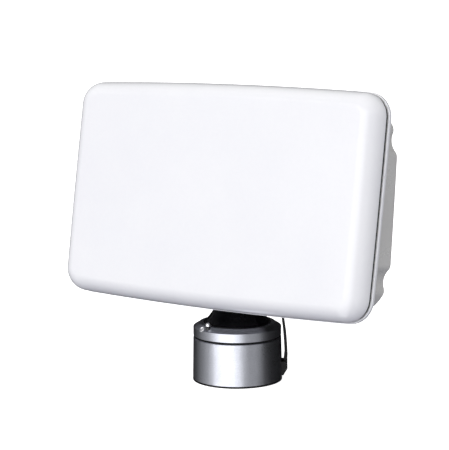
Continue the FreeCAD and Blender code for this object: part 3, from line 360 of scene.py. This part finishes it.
LOCK_TURN, LOCK_LEAN = math.radians(-112.0), math.radians(45.0)
LOCK_FOOT_OUT, LOCK_FOOT_UP = 0.0379, 0.0515
RIM_CENTRE, RIM_ROUND, RIM_UP = 0.00252, 0.00066, 0.0057
RIM_STEP, RIM_POINTS = 20, 10
LOCK_KEY, LOCK_KEY_FLOOR, LOCK_KEY_MOUTH = 0.0017, 0.003, 0.007
SCREW_SMOOTH = 28.0
BUTTON_TURN, BUTTON_OUT = math.radians(-103.0), 0.0396
STEM_FOOT, STEM_TOP, STEM_RADIUS, STEM_CHAMFER = 0.0548, 0.0584, 0.0025, 0.0003
BALL_CENTRE, BALL_RADIUS, BALL_STEP, BALL_POINTS = 0.0603, 0.0024, 10, 19


def lathe(name, profile, steps=48):
    """Closed body of revolution about Z from (radius, height) points, the two end ones put on Z."""
    spots, faces = [(0.0, 0.0, profile[0][1])], []
    rings = profile[1:-1]
    for radius, height in rings:
        for step in range(steps):
            angle = 2 * math.pi * step / steps
            spots.append((radius * math.cos(angle), radius * math.sin(angle), height))
    spots.append((0.0, 0.0, profile[-1][1]))
    for step in range(steps):
        after = (step + 1) % steps
        faces.append((0, 1 + after, 1 + step))
        for lap in range(len(rings) - 1):
            low, high = 1 + lap * steps, 1 + (lap + 1) * steps
            faces.append((low + step, low + after, high + after, high + step))
        last = 1 + (len(rings) - 1) * steps
        faces.append((last + step, last + after, len(spots) - 1))
    data = bpy.data.meshes.new(name)
    data.from_pydata(spots, [], faces)
    return placed(name, data)


def hexagon_socket(screw, key, floor, mouth):
    """Cuts a hexagon socket on Z between two heights; key is the radius to its corners."""
    hexagon = [(key * math.cos(math.pi * side / 3), key * math.sin(math.pi * side / 3))
               for side in range(6)]
    corners = [(x, y, floor) for x, y in hexagon] + [(x, y, mouth) for x, y in hexagon]
    walls = [(side, (side + 1) % 6, (side + 1) % 6 + 6, side + 6) for side in range(6)]
    data = bpy.data.meshes.new("key")
    data.from_pydata(corners, [], walls + [(5, 4, 3, 2, 1, 0), (6, 7, 8, 9, 10, 11)])
    cutter = placed("key", data)
    socket = screw.modifiers.new("socket", "BOOLEAN")
    socket.operation = "DIFFERENCE"
    socket.solver = "EXACT"
    socket.object = cutter
    bake_modifiers(screw)
    bpy.data.objects.remove(cutter)
    return smooth_shaded(screw, SCREW_SMOOTH)


def joined(name, *pieces):
    """One plain mesh from several, each with its own material; the pieces are dropped."""
    mesh = bmesh.new()
    data = bpy.data.meshes.new(name)
    for index, piece in enumerate(pieces):
        done = len(mesh.faces)
        mesh.from_mesh(piece.data)
        mesh.faces.ensure_lookup_table()
        for face in mesh.faces[done:]:
            face.material_index = index
        data.materials.append(piece.data.materials[0])
        bpy.data.objects.remove(piece)
    mesh.to_mesh(data)
    mesh.free()
    return placed(name, data)


lock_profile = [(0, 0), (RIM_CENTRE + RIM_ROUND, 0)]
for step in range(RIM_POINTS):
    angle = math.radians(RIM_STEP * step)
    lock_profile.append((RIM_CENTRE + RIM_ROUND * math.cos(angle), RIM_UP + RIM_ROUND * math.sin(angle)))
lock_profile += [(RIM_CENTRE - RIM_ROUND, RIM_UP - RIM_ROUND / 2), (0, RIM_UP - RIM_ROUND / 2)]
lock = hexagon_socket(lathe("lock", lock_profile), LOCK_KEY, LOCK_KEY_FLOOR, LOCK_KEY_MOUTH)
lock.data.transform(Matrix.Rotation(LOCK_TURN, 4, "Z")
                    @ Matrix.Translation((LOCK_FOOT_OUT, 0, LOCK_FOOT_UP))
                    @ Matrix.Rotation(LOCK_LEAN, 4, "Y"))
lock.data.materials.append(polished)
stands_for(lock, "lock_screw", "turret")

stem = smooth_shaded(lathe("stem", [(0, STEM_FOOT), (STEM_RADIUS, STEM_FOOT),
                                    (STEM_RADIUS, STEM_TOP - STEM_CHAMFER),
                                    (STEM_RADIUS - STEM_CHAMFER, STEM_TOP), (0, STEM_TOP)]))
stem.data.materials.append(black_acetal)
ball_profile = []
for step in range(BALL_POINTS):
    angle = math.radians(-90 + BALL_STEP * step)
    ball_profile.append((BALL_RADIUS * math.cos(angle), BALL_CENTRE + BALL_RADIUS * math.sin(angle)))
ball = smooth_shaded(lathe("ball", ball_profile))
ball.data.materials.append(polished)
button = joined("push_button", stem, ball)
button.data.transform(Matrix.Rotation(BUTTON_TURN, 4, "Z")
                      @ Matrix.Translation((BUTTON_OUT, 0, 0)))
stands_for(button, "detent_button", "button")


# === Pod case ===================================================================================
# Two vacuum-formed and trimmed shells of white ASA with a silicone gasket between them.  The gasket
# # is painted near-black: its own dark grey with the shade of the joint painted in.
# A white gloss lip runs round the rear shell's flange, and eight screws in half-round pockets of
# the rear shell pull the two together.

WHITE = (0.90, 0.90, 0.92, 1.0)
WHITE_OTHER = (0.87, 0.87, 0.90, 1.0)
REAR_WHITE = (0.60, 0.595, 0.58, 1.0)
REAR_WHITE_OTHER = (0.56, 0.555, 0.54, 1.0)
# Gasket colours: dark grey silicone darkened to near-black, painted shade of the joint gap.
SILICONE_AND_JOINT_SHADE = (0.014, 0.015, 0.018, 1.0)
SILICONE_DUST_AND_JOINT_SHADE = (0.024, 0.026, 0.030, 1.0)

white_gloss = finish_material("white gloss skin", WHITE, WHITE_OTHER, smooth=0.10, rough=0.17,
                              bump=0.00003, fine=260.0, coarse=90.0, coarse_share=0.6, patch=14.0,
                              speckle=300.0, coat=0.3)
rear_white = finish_material("white moulded skin", REAR_WHITE, REAR_WHITE_OTHER, smooth=0.22,
                             rough=0.34, bump=0.00006, fine=1200.0, coarse=250.0, patch=16.0)
silicone_and_joint_shade = finish_material("grey silicone and painted joint shade", SILICONE_AND_JOINT_SHADE, SILICONE_DUST_AND_JOINT_SHADE, smooth=0.5, rough=0.7,
                           bump=0.00005)

# The pod frame: u across, v up the case, w back through it, origin at the middle of the joint.
TILT_AXIS_Y, TILT_AXIS_Z = 0.02085, 0.08932
POD_AXIS_UP, POD_AXIS_BACK = -0.088, 0.062
POD_LEAN = math.radians(10.31)
HALF_WIDTH, HALF_HEIGHT, CORNER = 0.1747, 0.10985, 0.0235
SIDE_BOW, TOP_BOW = 9.3, 4.49
FRONT_DEPTH, JOINT_HALF = 0.025, 0.0017
ROLL_ACROSS, ROLL_DEEP = 0.016, 0.020
INNER_ROLL_STEPS, OUTER_ROLL_STEPS = 12, 24
SIDE_STEPS, CORNER_STEPS, TOP_STEPS = 20, 24, 32
CASE_WALL = 0.0035
EDGE_ROUND, EDGE_STEP, EDGE_POINTS = 0.0009, 15, 7
REAR_EDGE = 0.0004

# The flange lip's section: how far back and out it goes, its body, its shoulders and their drop,
# and the roundings of its two outer corners.
FLANGE_BACK, FLANGE_OUT = 0.006, 0.0011
LIP_BODY, LIP_SHOULDER, LIP_DROP = 0.0006, 0.0009, 0.0001
LIP_FRONT_ROUND, LIP_BACK_ROUND = 0.0004, 0.0005


def in_pod(u, w, v):
    """A point of the leaning pod frame in the row's frame."""
    sine, cosine = math.sin(POD_LEAN), math.cos(POD_LEAN)
    y = TILT_AXIS_Y - POD_AXIS_UP * sine - POD_AXIS_BACK * cosine
    z = TILT_AXIS_Z - POD_AXIS_UP * cosine + POD_AXIS_BACK * sine
    return Vector((u, y + v * sine + w * cosine, z + v * cosine - w * sine))


def arc_points(centre, radius, start, end, steps):
    """Points along an arc with their outward normals, the last one left out."""
    spots = []
    for step in range(steps):
        angle = start + (end - start) * step / steps
        normal = (math.cos(angle), math.sin(angle))
        spots.append((centre[0] + radius * normal[0], centre[1] + radius * normal[1], normal))
    return spots


def case_outline():
    """The pod's outline: four bowed sides and four tangent corners, anticlockwise."""
    side = (HALF_WIDTH - SIDE_BOW, 0.0)
    top = (0.0, HALF_HEIGHT - TOP_BOW)
    far, near = SIDE_BOW - CORNER, TOP_BOW - CORNER
    span = math.hypot(side[0], top[1])
    along = (far ** 2 - near ** 2 + span ** 2) / (2 * span)
    off = math.sqrt(far ** 2 - along ** 2)
    toward = ((top[0] - side[0]) / span, (top[1] - side[1]) / span)
    corner = (side[0] + toward[0] * along - toward[1] * off,
              side[1] + toward[1] * along + toward[0] * off)
    low = math.atan2(corner[1] - side[1], corner[0] - side[0])
    high = math.atan2(corner[1] - top[1], corner[0] - top[0])
    half, full = math.pi, 2 * math.pi
    right, up = corner
    spots = arc_points(side, SIDE_BOW, -low, low, SIDE_STEPS)
    spots += arc_points(corner, CORNER, low, high, CORNER_STEPS)
    spots += arc_points(top, TOP_BOW, high, half - high, TOP_STEPS)
    spots += arc_points((-right, up), CORNER, half - high, half - low, CORNER_STEPS)
    spots += arc_points((-side[0], 0.0), SIDE_BOW, half - low, half + low, SIDE_STEPS)
    spots += arc_points((-right, -up), CORNER, half + low, half + high, CORNER_STEPS)
    spots += arc_points((0.0, -top[1]), TOP_BOW, half + high, full - high, TOP_STEPS)
    spots += arc_points((right, -up), CORNER, full - high, full - low, CORNER_STEPS)
    return spots


def ellipse_part(across, deep, start, end, steps):
    """(inset, depth) points on the front roll between two angles: 0 at the side, 90 at the face."""
    spots = []
    for step in range(steps + 1):
        angle = math.radians(start + (end - start) * step / steps)
        spots.append((ROLL_ACROSS - across * math.cos(angle),
                      -FRONT_DEPTH + ROLL_DEEP - deep * math.sin(angle)))
    return spots


def swept_case(name, profile, ring=False):
    """The profile of (inset, depth) carried round the case outline: a lidded shell or a ring."""
    outline = case_outline()
    count = len(outline)
    spots, faces = [], []
    for inset, depth in profile:
        for u, v, normal in outline:
            spots.append(in_pod(u - normal[0] * inset, depth, v - normal[1] * inset))
    for lap in range(len(profile) if ring else len(profile) - 1):
        low, high = lap * count, (lap + 1) % len(profile) * count
        for step in range(count):
            after = (step + 1) % count
            faces.append((low + step, low + after, high + after, high + step))
    if not ring:
        faces.append(tuple(range(count))[::-1])
        faces.append(tuple(range((len(profile) - 1) * count, len(profile) * count)))
    data = bpy.data.meshes.new(name)
    data.from_pydata(spots, [], faces)
    mesh = bmesh.new()
    mesh.from_mesh(data)
    bmesh.ops.recalc_face_normals(mesh, faces=mesh.faces)
    mesh.to_mesh(data)
    mesh.free()
    return placed(name, data)


def front_profile():
    """Inside of the face, inner roll, rear edge with its rounded corner, outer roll, face."""
    inner = ellipse_part(ROLL_ACROSS - CASE_WALL, ROLL_DEEP - CASE_WALL, 90, 0, INNER_ROLL_STEPS)
    edge = [(CASE_WALL, -JOINT_HALF)]
    for step in range(EDGE_POINTS):
        angle = math.radians(EDGE_STEP * step)
        edge.append((EDGE_ROUND * (1 - math.sin(angle)),
                     -JOINT_HALF - EDGE_ROUND * (1 - math.cos(angle))))
    return inner + edge + ellipse_part(ROLL_ACROSS, ROLL_DEEP, 0, 90, OUTER_ROLL_STEPS)


front = smooth_shaded(swept_case("front_cover", front_profile()))
front.data.materials.append(white_gloss)
stands_for(front, "front_shell", "pod")
lip = smooth_shaded(swept_case("flange_lip", [
    (LIP_BODY, JOINT_HALF), (-LIP_BODY, JOINT_HALF), (-LIP_SHOULDER, JOINT_HALF + LIP_DROP),
    (-FLANGE_OUT, JOINT_HALF + LIP_FRONT_ROUND), (-FLANGE_OUT, FLANGE_BACK - LIP_BACK_ROUND),
    (-LIP_SHOULDER, FLANGE_BACK - LIP_DROP), (-LIP_BODY, FLANGE_BACK), (LIP_BODY, FLANGE_BACK)],
    ring=True))
lip.data.materials.append(white_gloss)
stands_for(lip, "rear_shell", "pod")
stands_for(broken_edges("rear_shell", "rear_half", rear_white, REAR_EDGE),
           "rear_shell", "pod")
# The gasket's near-black colour is partly its own dark grey and partly painted shade of the joint.
coat_node("case_gasket", silicone_and_joint_shade)
for name in ("backing_plate", "tilt_bolt", "tilt_nut"):
    coat_node(name, stainless)
coat_node("case_inserts", machined_brass)


# === Case screws and bracket bolts ==============================================================
# Stainless socket-head screws with a turned, chamfered head and a hexagon socket: eight hold the
# rear shell to the front one, four hold the tilt bracket.

SIDE_SCREW_UP, END_SCREW_ACROSS, SCREW_INSET = 0.0675, 0.058, 0.0066
BRACKET_FACE = 0.054
BOLT_ACROSS, BOLT_UP, BOLT_STEP = 0.027, -0.054, 0.012
TURN_SPREAD = 1.0    # radians, just under the sixth of a turn at which a hexagon repeats
RANDOM_MAX, RANDOM_OUT = 3, 1    # a random value node's sockets for plain numbers

# Shares of a socket screw's own sizes: its head's chamfer, its point, the dish round the socket
# and the socket's depth.
HEAD_CHAMFER = 0.14
POINT_IN, POINT_LONG = 0.8, 0.4
DISH_MOUTH, DISH_FLOOR = 1.25, 1.12
SOCKET_FLOOR, SOCKET_MOUTH = 0.35, 1.5


def socket_screw(name, head, height, shank, length, key):
    """One screw on Z: head above z = 0, shank below, hexagon socket cut into the head."""
    edge = HEAD_CHAMFER * head
    screw = lathe(name, [(0, -length), (shank * POINT_IN, -length),
                         (shank, -length + shank * POINT_LONG),
                         (shank, 0), (head - edge / 3, 0), (head, edge / 3),
                         (head, height - edge), (head - edge / 3, height - edge / 3),
                         (head - edge, height), (key * DISH_MOUTH, height),
                         (key * DISH_FLOOR, height - edge / 2), (0, height - edge / 2)])
    return hexagon_socket(screw, key, height * SOCKET_FLOOR, height * SOCKET_MOUTH)


def make_repeat_tree():
    """Geometry nodes: a leaning master on every point, each turned on its own axis by chance."""
    tree = bpy.data.node_groups.new("repeat on points", "GeometryNodeTree")
    face = tree.interface
    face.new_socket("Points", in_out="INPUT", socket_type="NodeSocketGeometry")
    face.new_socket("Master", in_out="INPUT", socket_type="NodeSocketObject")
    face.new_socket("Lean", in_out="INPUT", socket_type="NodeSocketVector")
    face.new_socket("Spread of turns", in_out="INPUT", socket_type="NodeSocketFloat")
    face.new_socket("Seed", in_out="INPUT", socket_type="NodeSocketInt")
    face.new_socket("Finish", in_out="INPUT", socket_type="NodeSocketMaterial")
    face.new_socket("Pieces", in_out="OUTPUT", socket_type="NodeSocketGeometry")
    entry = tree.nodes.new("NodeGroupInput")
    master = tree.nodes.new("GeometryNodeObjectInfo")
    chance = tree.nodes.new("FunctionNodeRandomValue")
    chance.data_type = "FLOAT"
    own = tree.nodes.new("ShaderNodeCombineXYZ")
    lean = tree.nodes.new("FunctionNodeEulerToRotation")
    spin = tree.nodes.new("FunctionNodeEulerToRotation")
    both = tree.nodes.new("FunctionNodeRotateRotation")
    both.rotation_space = "LOCAL"
    place = tree.nodes.new("GeometryNodeInstanceOnPoints")
    real = tree.nodes.new("GeometryNodeRealizeInstances")
    finish = tree.nodes.new("GeometryNodeSetMaterial")
    leave = tree.nodes.new("NodeGroupOutput")
    link = tree.links.new
    link(entry.outputs["Master"], master.inputs["Object"])
    link(entry.outputs["Spread of turns"], chance.inputs[RANDOM_MAX])
    link(entry.outputs["Seed"], chance.inputs["Seed"])
    link(chance.outputs[RANDOM_OUT], own.inputs["Z"])
    link(own.outputs[0], spin.inputs[0])
    link(entry.outputs["Lean"], lean.inputs[0])
    link(lean.outputs[0], both.inputs[0])
    link(spin.outputs[0], both.inputs[1])
    link(entry.outputs["Points"], place.inputs["Points"])
    link(master.outputs["Geometry"], place.inputs["Instance"])
    link(both.outputs[0], place.inputs["Rotation"])
    link(place.outputs[0], real.inputs[0])
    link(real.outputs[0], finish.inputs["Geometry"])
    link(entry.outputs["Finish"], finish.inputs["Material"])
    link(finish.outputs[0], leave.inputs[0])
    return tree


repeat_tree = make_repeat_tree()


def repeated(name, spots, master, lean, spread, seed, material):
    """The master repeated on each spot as one plain mesh; the master itself is dropped."""
    data = bpy.data.meshes.new(name)
    data.from_pydata(spots, [], [])
    piece = placed(name, data)
    nodes_modifier = piece.modifiers.new("repeat", "NODES")
    nodes_modifier.node_group = repeat_tree
    values = {"Master": master, "Lean": lean, "Spread of turns": spread, "Seed": seed,
              "Finish": material}
    for item in repeat_tree.interface.items_tree:
        if item.in_out == "INPUT" and item.name in values:
            nodes_modifier[item.identifier] = values[item.name]
    bake_modifiers(piece)
    bpy.data.objects.remove(master)
    return piece


FACING_BACK = (-math.pi / 2 - POD_LEAN, 0.0, 0.0)
case_spots, bolt_spots = [], []
for hand in (1, -1):
    for rise in (1, -1):
        case_spots.append(in_pod(hand * (HALF_WIDTH - SCREW_INSET), FLANGE_BACK,
                                 rise * SIDE_SCREW_UP))
        case_spots.append(in_pod(hand * END_SCREW_ACROSS, FLANGE_BACK,
                                 rise * (HALF_HEIGHT - SCREW_INSET)))
        bolt_spots.append(in_pod(hand * BOLT_ACROSS, BRACKET_FACE, BOLT_UP + rise * BOLT_STEP))
case_screw = socket_screw("case_screw", head=0.0036, height=0.0036, shank=0.0019, length=0.012,
                          key=0.00175)
stands_for(repeated("case_screw_set", case_spots, case_screw, FACING_BACK, TURN_SPREAD, seed=4,
                    material=stainless),
           "case_screws", "pod")
bracket_bolt = socket_screw("bracket_bolt", head=0.0042, height=0.0040, shank=0.0024, length=0.0175,
                            key=0.0020)
stands_for(repeated("bracket_bolt_set", bolt_spots, bracket_bolt, FACING_BACK, TURN_SPREAD, seed=7,
                    material=stainless),
           "bracket_bolts", "pod")


# === Tilt bracket, gland and vent ===============================================================
# Bracket in black powder coat: a plate bolted to the rear shell, with two ears that straddle the
# neck's knuckle.  A nylon cable gland with its nut and a breather vent sit in the rear shell, one
# on each side of it.

TILT_BRACKET_EDGE = 0.0006
NYLON = (0.020, 0.020, 0.021, 1.0)
NYLON_OTHER = (0.030, 0.030, 0.031, 1.0)

black_nylon = finish_material("black nylon", NYLON, NYLON_OTHER, smooth=0.4, rough=0.55, bump=0.00005)
stands_for(broken_edges("pod_bracket", "tilt_bracket", powder_coat, TILT_BRACKET_EDGE),
           "pod_bracket", "pod")
for name in ("cable_gland", "gland_nut", "breather_vent"):
    coat_node(name, black_nylon)
coat_node("gland_seal", black_rubber)


# === Studio =====================================================================================
# Pale floor and a surround that each kind of ray sees in its own way: plain white to the camera, a
# wide soft box with dim fills at its sides to shiny pieces, and a broad soft key to matt ones.

CAMERA_DISTANCE = 1.6498
CAMERA_HEIGHT = 0.4049
CAMERA_AZIMUTH = math.radians(33.78)
CAMERA_PAN = math.radians(0.417)
CAMERA_TILT = math.radians(8.58)
CAMERA_ROLL = math.radians(-0.43)
LENS = 134.4
CLIP_END = 100.0
FLOOR_SIZE = 60.0
FLOOR_PALE = (0.92, 0.92, 0.92, 1.0)
FLOOR_ROUGH = 0.9
FLOOR_GLOW = 0.75
FLOOR_BOUNCE = (0.52, 0.525, 0.58, 1.0)
PLAIN_WHITE = (1.0, 1.0, 1.0, 1.0)


def make_camera():
    """The camera fitted to the photograph: where it stands, then its pan, tilt and roll."""
    aim = CAMERA_AZIMUTH + CAMERA_PAN
    forward = Vector((-math.sin(aim) * math.cos(CAMERA_TILT),
                      math.cos(aim) * math.cos(CAMERA_TILT), -math.sin(CAMERA_TILT)))
    right = Vector((math.cos(aim), math.sin(aim), 0.0))
    up = right.cross(forward)
    turned_right = right * math.cos(CAMERA_ROLL) + up * math.sin(CAMERA_ROLL)
    turned_up = up * math.cos(CAMERA_ROLL) - right * math.sin(CAMERA_ROLL)
    data = bpy.data.cameras.new("studio_camera")
    data.lens = LENS
    data.clip_end = CLIP_END
    camera = placed("studio_camera", data)
    spot = Vector((CAMERA_DISTANCE * math.sin(CAMERA_AZIMUTH),
                   -CAMERA_DISTANCE * math.cos(CAMERA_AZIMUTH), CAMERA_HEIGHT))
    turn = Matrix((turned_right, turned_up, -forward)).transposed()
    camera.matrix_world = Matrix.Translation(spot) @ turn.to_4x4()
    bpy.context.scene.camera = camera


def make_floor():
    """Flat floor: pale to the camera with a faint contact shadow, and dimmer in bounced light."""
    half = FLOOR_SIZE / 2
    data = bpy.data.meshes.new("studio_floor")
    data.from_pydata([(-half, -half, 0), (half, -half, 0), (half, half, 0), (-half, half, 0)],
                     [], [(0, 1, 2, 3)])
    floor = placed("studio_floor", data)
    pale = bpy.data.materials.new("pale floor")
    pale.use_nodes = True
    tree = pale.node_tree
    shader = tree.nodes["Principled BSDF"]
    shader.inputs["Base Color"].default_value = FLOOR_PALE
    shader.inputs["Roughness"].default_value = FLOOR_ROUGH
    shader.inputs["Specular IOR Level"].default_value = 0.0
    shader.inputs["Emission Color"].default_value = PLAIN_WHITE
    shader.inputs["Emission Strength"].default_value = FLOOR_GLOW
    dim = tree.nodes.new("ShaderNodeBsdfDiffuse")
    dim.inputs["Color"].default_value = FLOOR_BOUNCE
    rays = tree.nodes.new("ShaderNodeLightPath")
    choose = tree.nodes.new("ShaderNodeMixShader")
    tree.links.new(rays.outputs["Is Camera Ray"], choose.inputs["Fac"])
    tree.links.new(dim.outputs[0], choose.inputs[1])
    tree.links.new(shader.outputs[0], choose.inputs[2])
    tree.links.new(choose.outputs[0], tree.nodes["Material Output"].inputs["Surface"])
    data.materials.append(pale)
    floor.visible_glossy = False


def ramp(tree, value, stops):
    """Smooth curve through (position, brightness) stops over the full turn, in degrees."""
    spread = tree.nodes.new("ShaderNodeMapRange")
    spread.inputs["From Min"].default_value = -180.0
    spread.inputs["From Max"].default_value = 180.0
    tree.links.new(value, spread.inputs["Value"])
    curve = tree.nodes.new("ShaderNodeValToRGB")
    curve.color_ramp.interpolation = "EASE"
    points = curve.color_ramp.elements
    while len(points) < len(stops):
        points.new(0.5)
    for point, (angle, bright) in zip(points, stops):
        point.position = (angle + 180.0) / 360.0
        point.color = (bright, bright, bright, 1.0)
    tree.links.new(spread.outputs["Result"], curve.inputs["Fac"])
    return curve.outputs["Color"]


def maths(tree, operation, *values):
    """One maths node; each value is a number or a socket."""
    node = tree.nodes.new("ShaderNodeMath")
    node.operation = operation
    for socket, value in zip(node.inputs, values):
        if isinstance(value, (int, float)):
            socket.default_value = value
        else:
            tree.links.new(value, socket)
    return node.outputs[0]


# Brightness that shiny pieces see, as a share of GLOSS_PEAK, in (degrees, share) stops: by azimuth
# from -Y towards +X, and by elevation.  A wide soft box in front that reaches down past the floor,
# dim fills at both sides, and next to nothing behind and overhead.
GLOSS_ROUND = [(-180, 0.004), (-112, 0.008), (-94, 0.03), (-70, 0.13), (-46, 0.23), (-33, 0.42),
               (-20, 0.98), (24, 1.0), (39, 0.70), (52, 0.22), (63, 0.18), (78, 0.25), (90, 0.18),
               (106, 0.025), (130, 0.008), (180, 0.002)]
GLOSS_UPRIGHT = [(-180, 1.0), (26, 1.0), (44, 0.02), (90, 0.006), (180, 0.006)]
GLOSS_PEAK = 2.5
KEY_TURN = math.radians(6.0)
KEY_RISE = math.radians(20.0)
KEY_BRIGHT = 1.18
AMBIENT = 0.55


def heading(turn, rise):
    """Unit vector at an azimuth from -Y towards +X and an elevation."""
    return (math.sin(turn) * math.cos(rise), -math.cos(turn) * math.cos(rise), math.sin(rise))


def make_world():
    """The surround: backdrop for camera rays, soft boxes for glossy rays, soft key for the rest."""
    world = bpy.data.worlds.new("studio")
    bpy.context.scene.world = world
    world.use_nodes = True
    tree = world.node_tree
    tree.nodes.clear()
    place = tree.nodes.new("ShaderNodeTexCoord")
    split = tree.nodes.new("ShaderNodeSeparateXYZ")
    tree.links.new(place.outputs["Generated"], split.inputs[0])
    ahead = maths(tree, "MULTIPLY", split.outputs["Y"], -1.0)
    turn = maths(tree, "ARCTAN2", split.outputs["X"], ahead)
    rise = maths(tree, "ARCSINE", split.outputs["Z"])
    around = ramp(tree, maths(tree, "DEGREES", turn), GLOSS_ROUND)
    upright = ramp(tree, maths(tree, "DEGREES", rise), GLOSS_UPRIGHT)
    boxes = maths(tree, "MULTIPLY", maths(tree, "MULTIPLY", around, upright), GLOSS_PEAK)

    gloss = tree.nodes.new("ShaderNodeBackground")
    tree.links.new(boxes, gloss.inputs["Color"])
    facing = tree.nodes.new("ShaderNodeVectorMath")
    facing.operation = "DOT_PRODUCT"
    tree.links.new(place.outputs["Generated"], facing.inputs[0])
    facing.inputs[1].default_value = heading(KEY_TURN, KEY_RISE)
    key = maths(tree, "MAXIMUM", facing.outputs["Value"], 0.0)
    soft = maths(tree, "MULTIPLY_ADD", key, KEY_BRIGHT, AMBIENT)
    diffuse = tree.nodes.new("ShaderNodeBackground")
    tree.links.new(soft, diffuse.inputs["Color"])
    backdrop = tree.nodes.new("ShaderNodeBackground")
    backdrop.inputs["Color"].default_value = PLAIN_WHITE
    rays = tree.nodes.new("ShaderNodeLightPath")
    choose = tree.nodes.new("ShaderNodeMixShader")
    tree.links.new(rays.outputs["Is Glossy Ray"], choose.inputs["Fac"])
    tree.links.new(diffuse.outputs[0], choose.inputs[1])
    tree.links.new(gloss.outputs[0], choose.inputs[2])
    choose_back = tree.nodes.new("ShaderNodeMixShader")
    tree.links.new(rays.outputs["Is Camera Ray"], choose_back.inputs["Fac"])
    tree.links.new(choose.outputs[0], choose_back.inputs[1])
    tree.links.new(backdrop.outputs[0], choose_back.inputs[2])
    output = tree.nodes.new("ShaderNodeOutputWorld")
    tree.links.new(choose_back.outputs[0], output.inputs["Surface"])


make_camera()
make_floor()
make_world()
bpy.context.scene.view_settings.view_transform = "Standard"
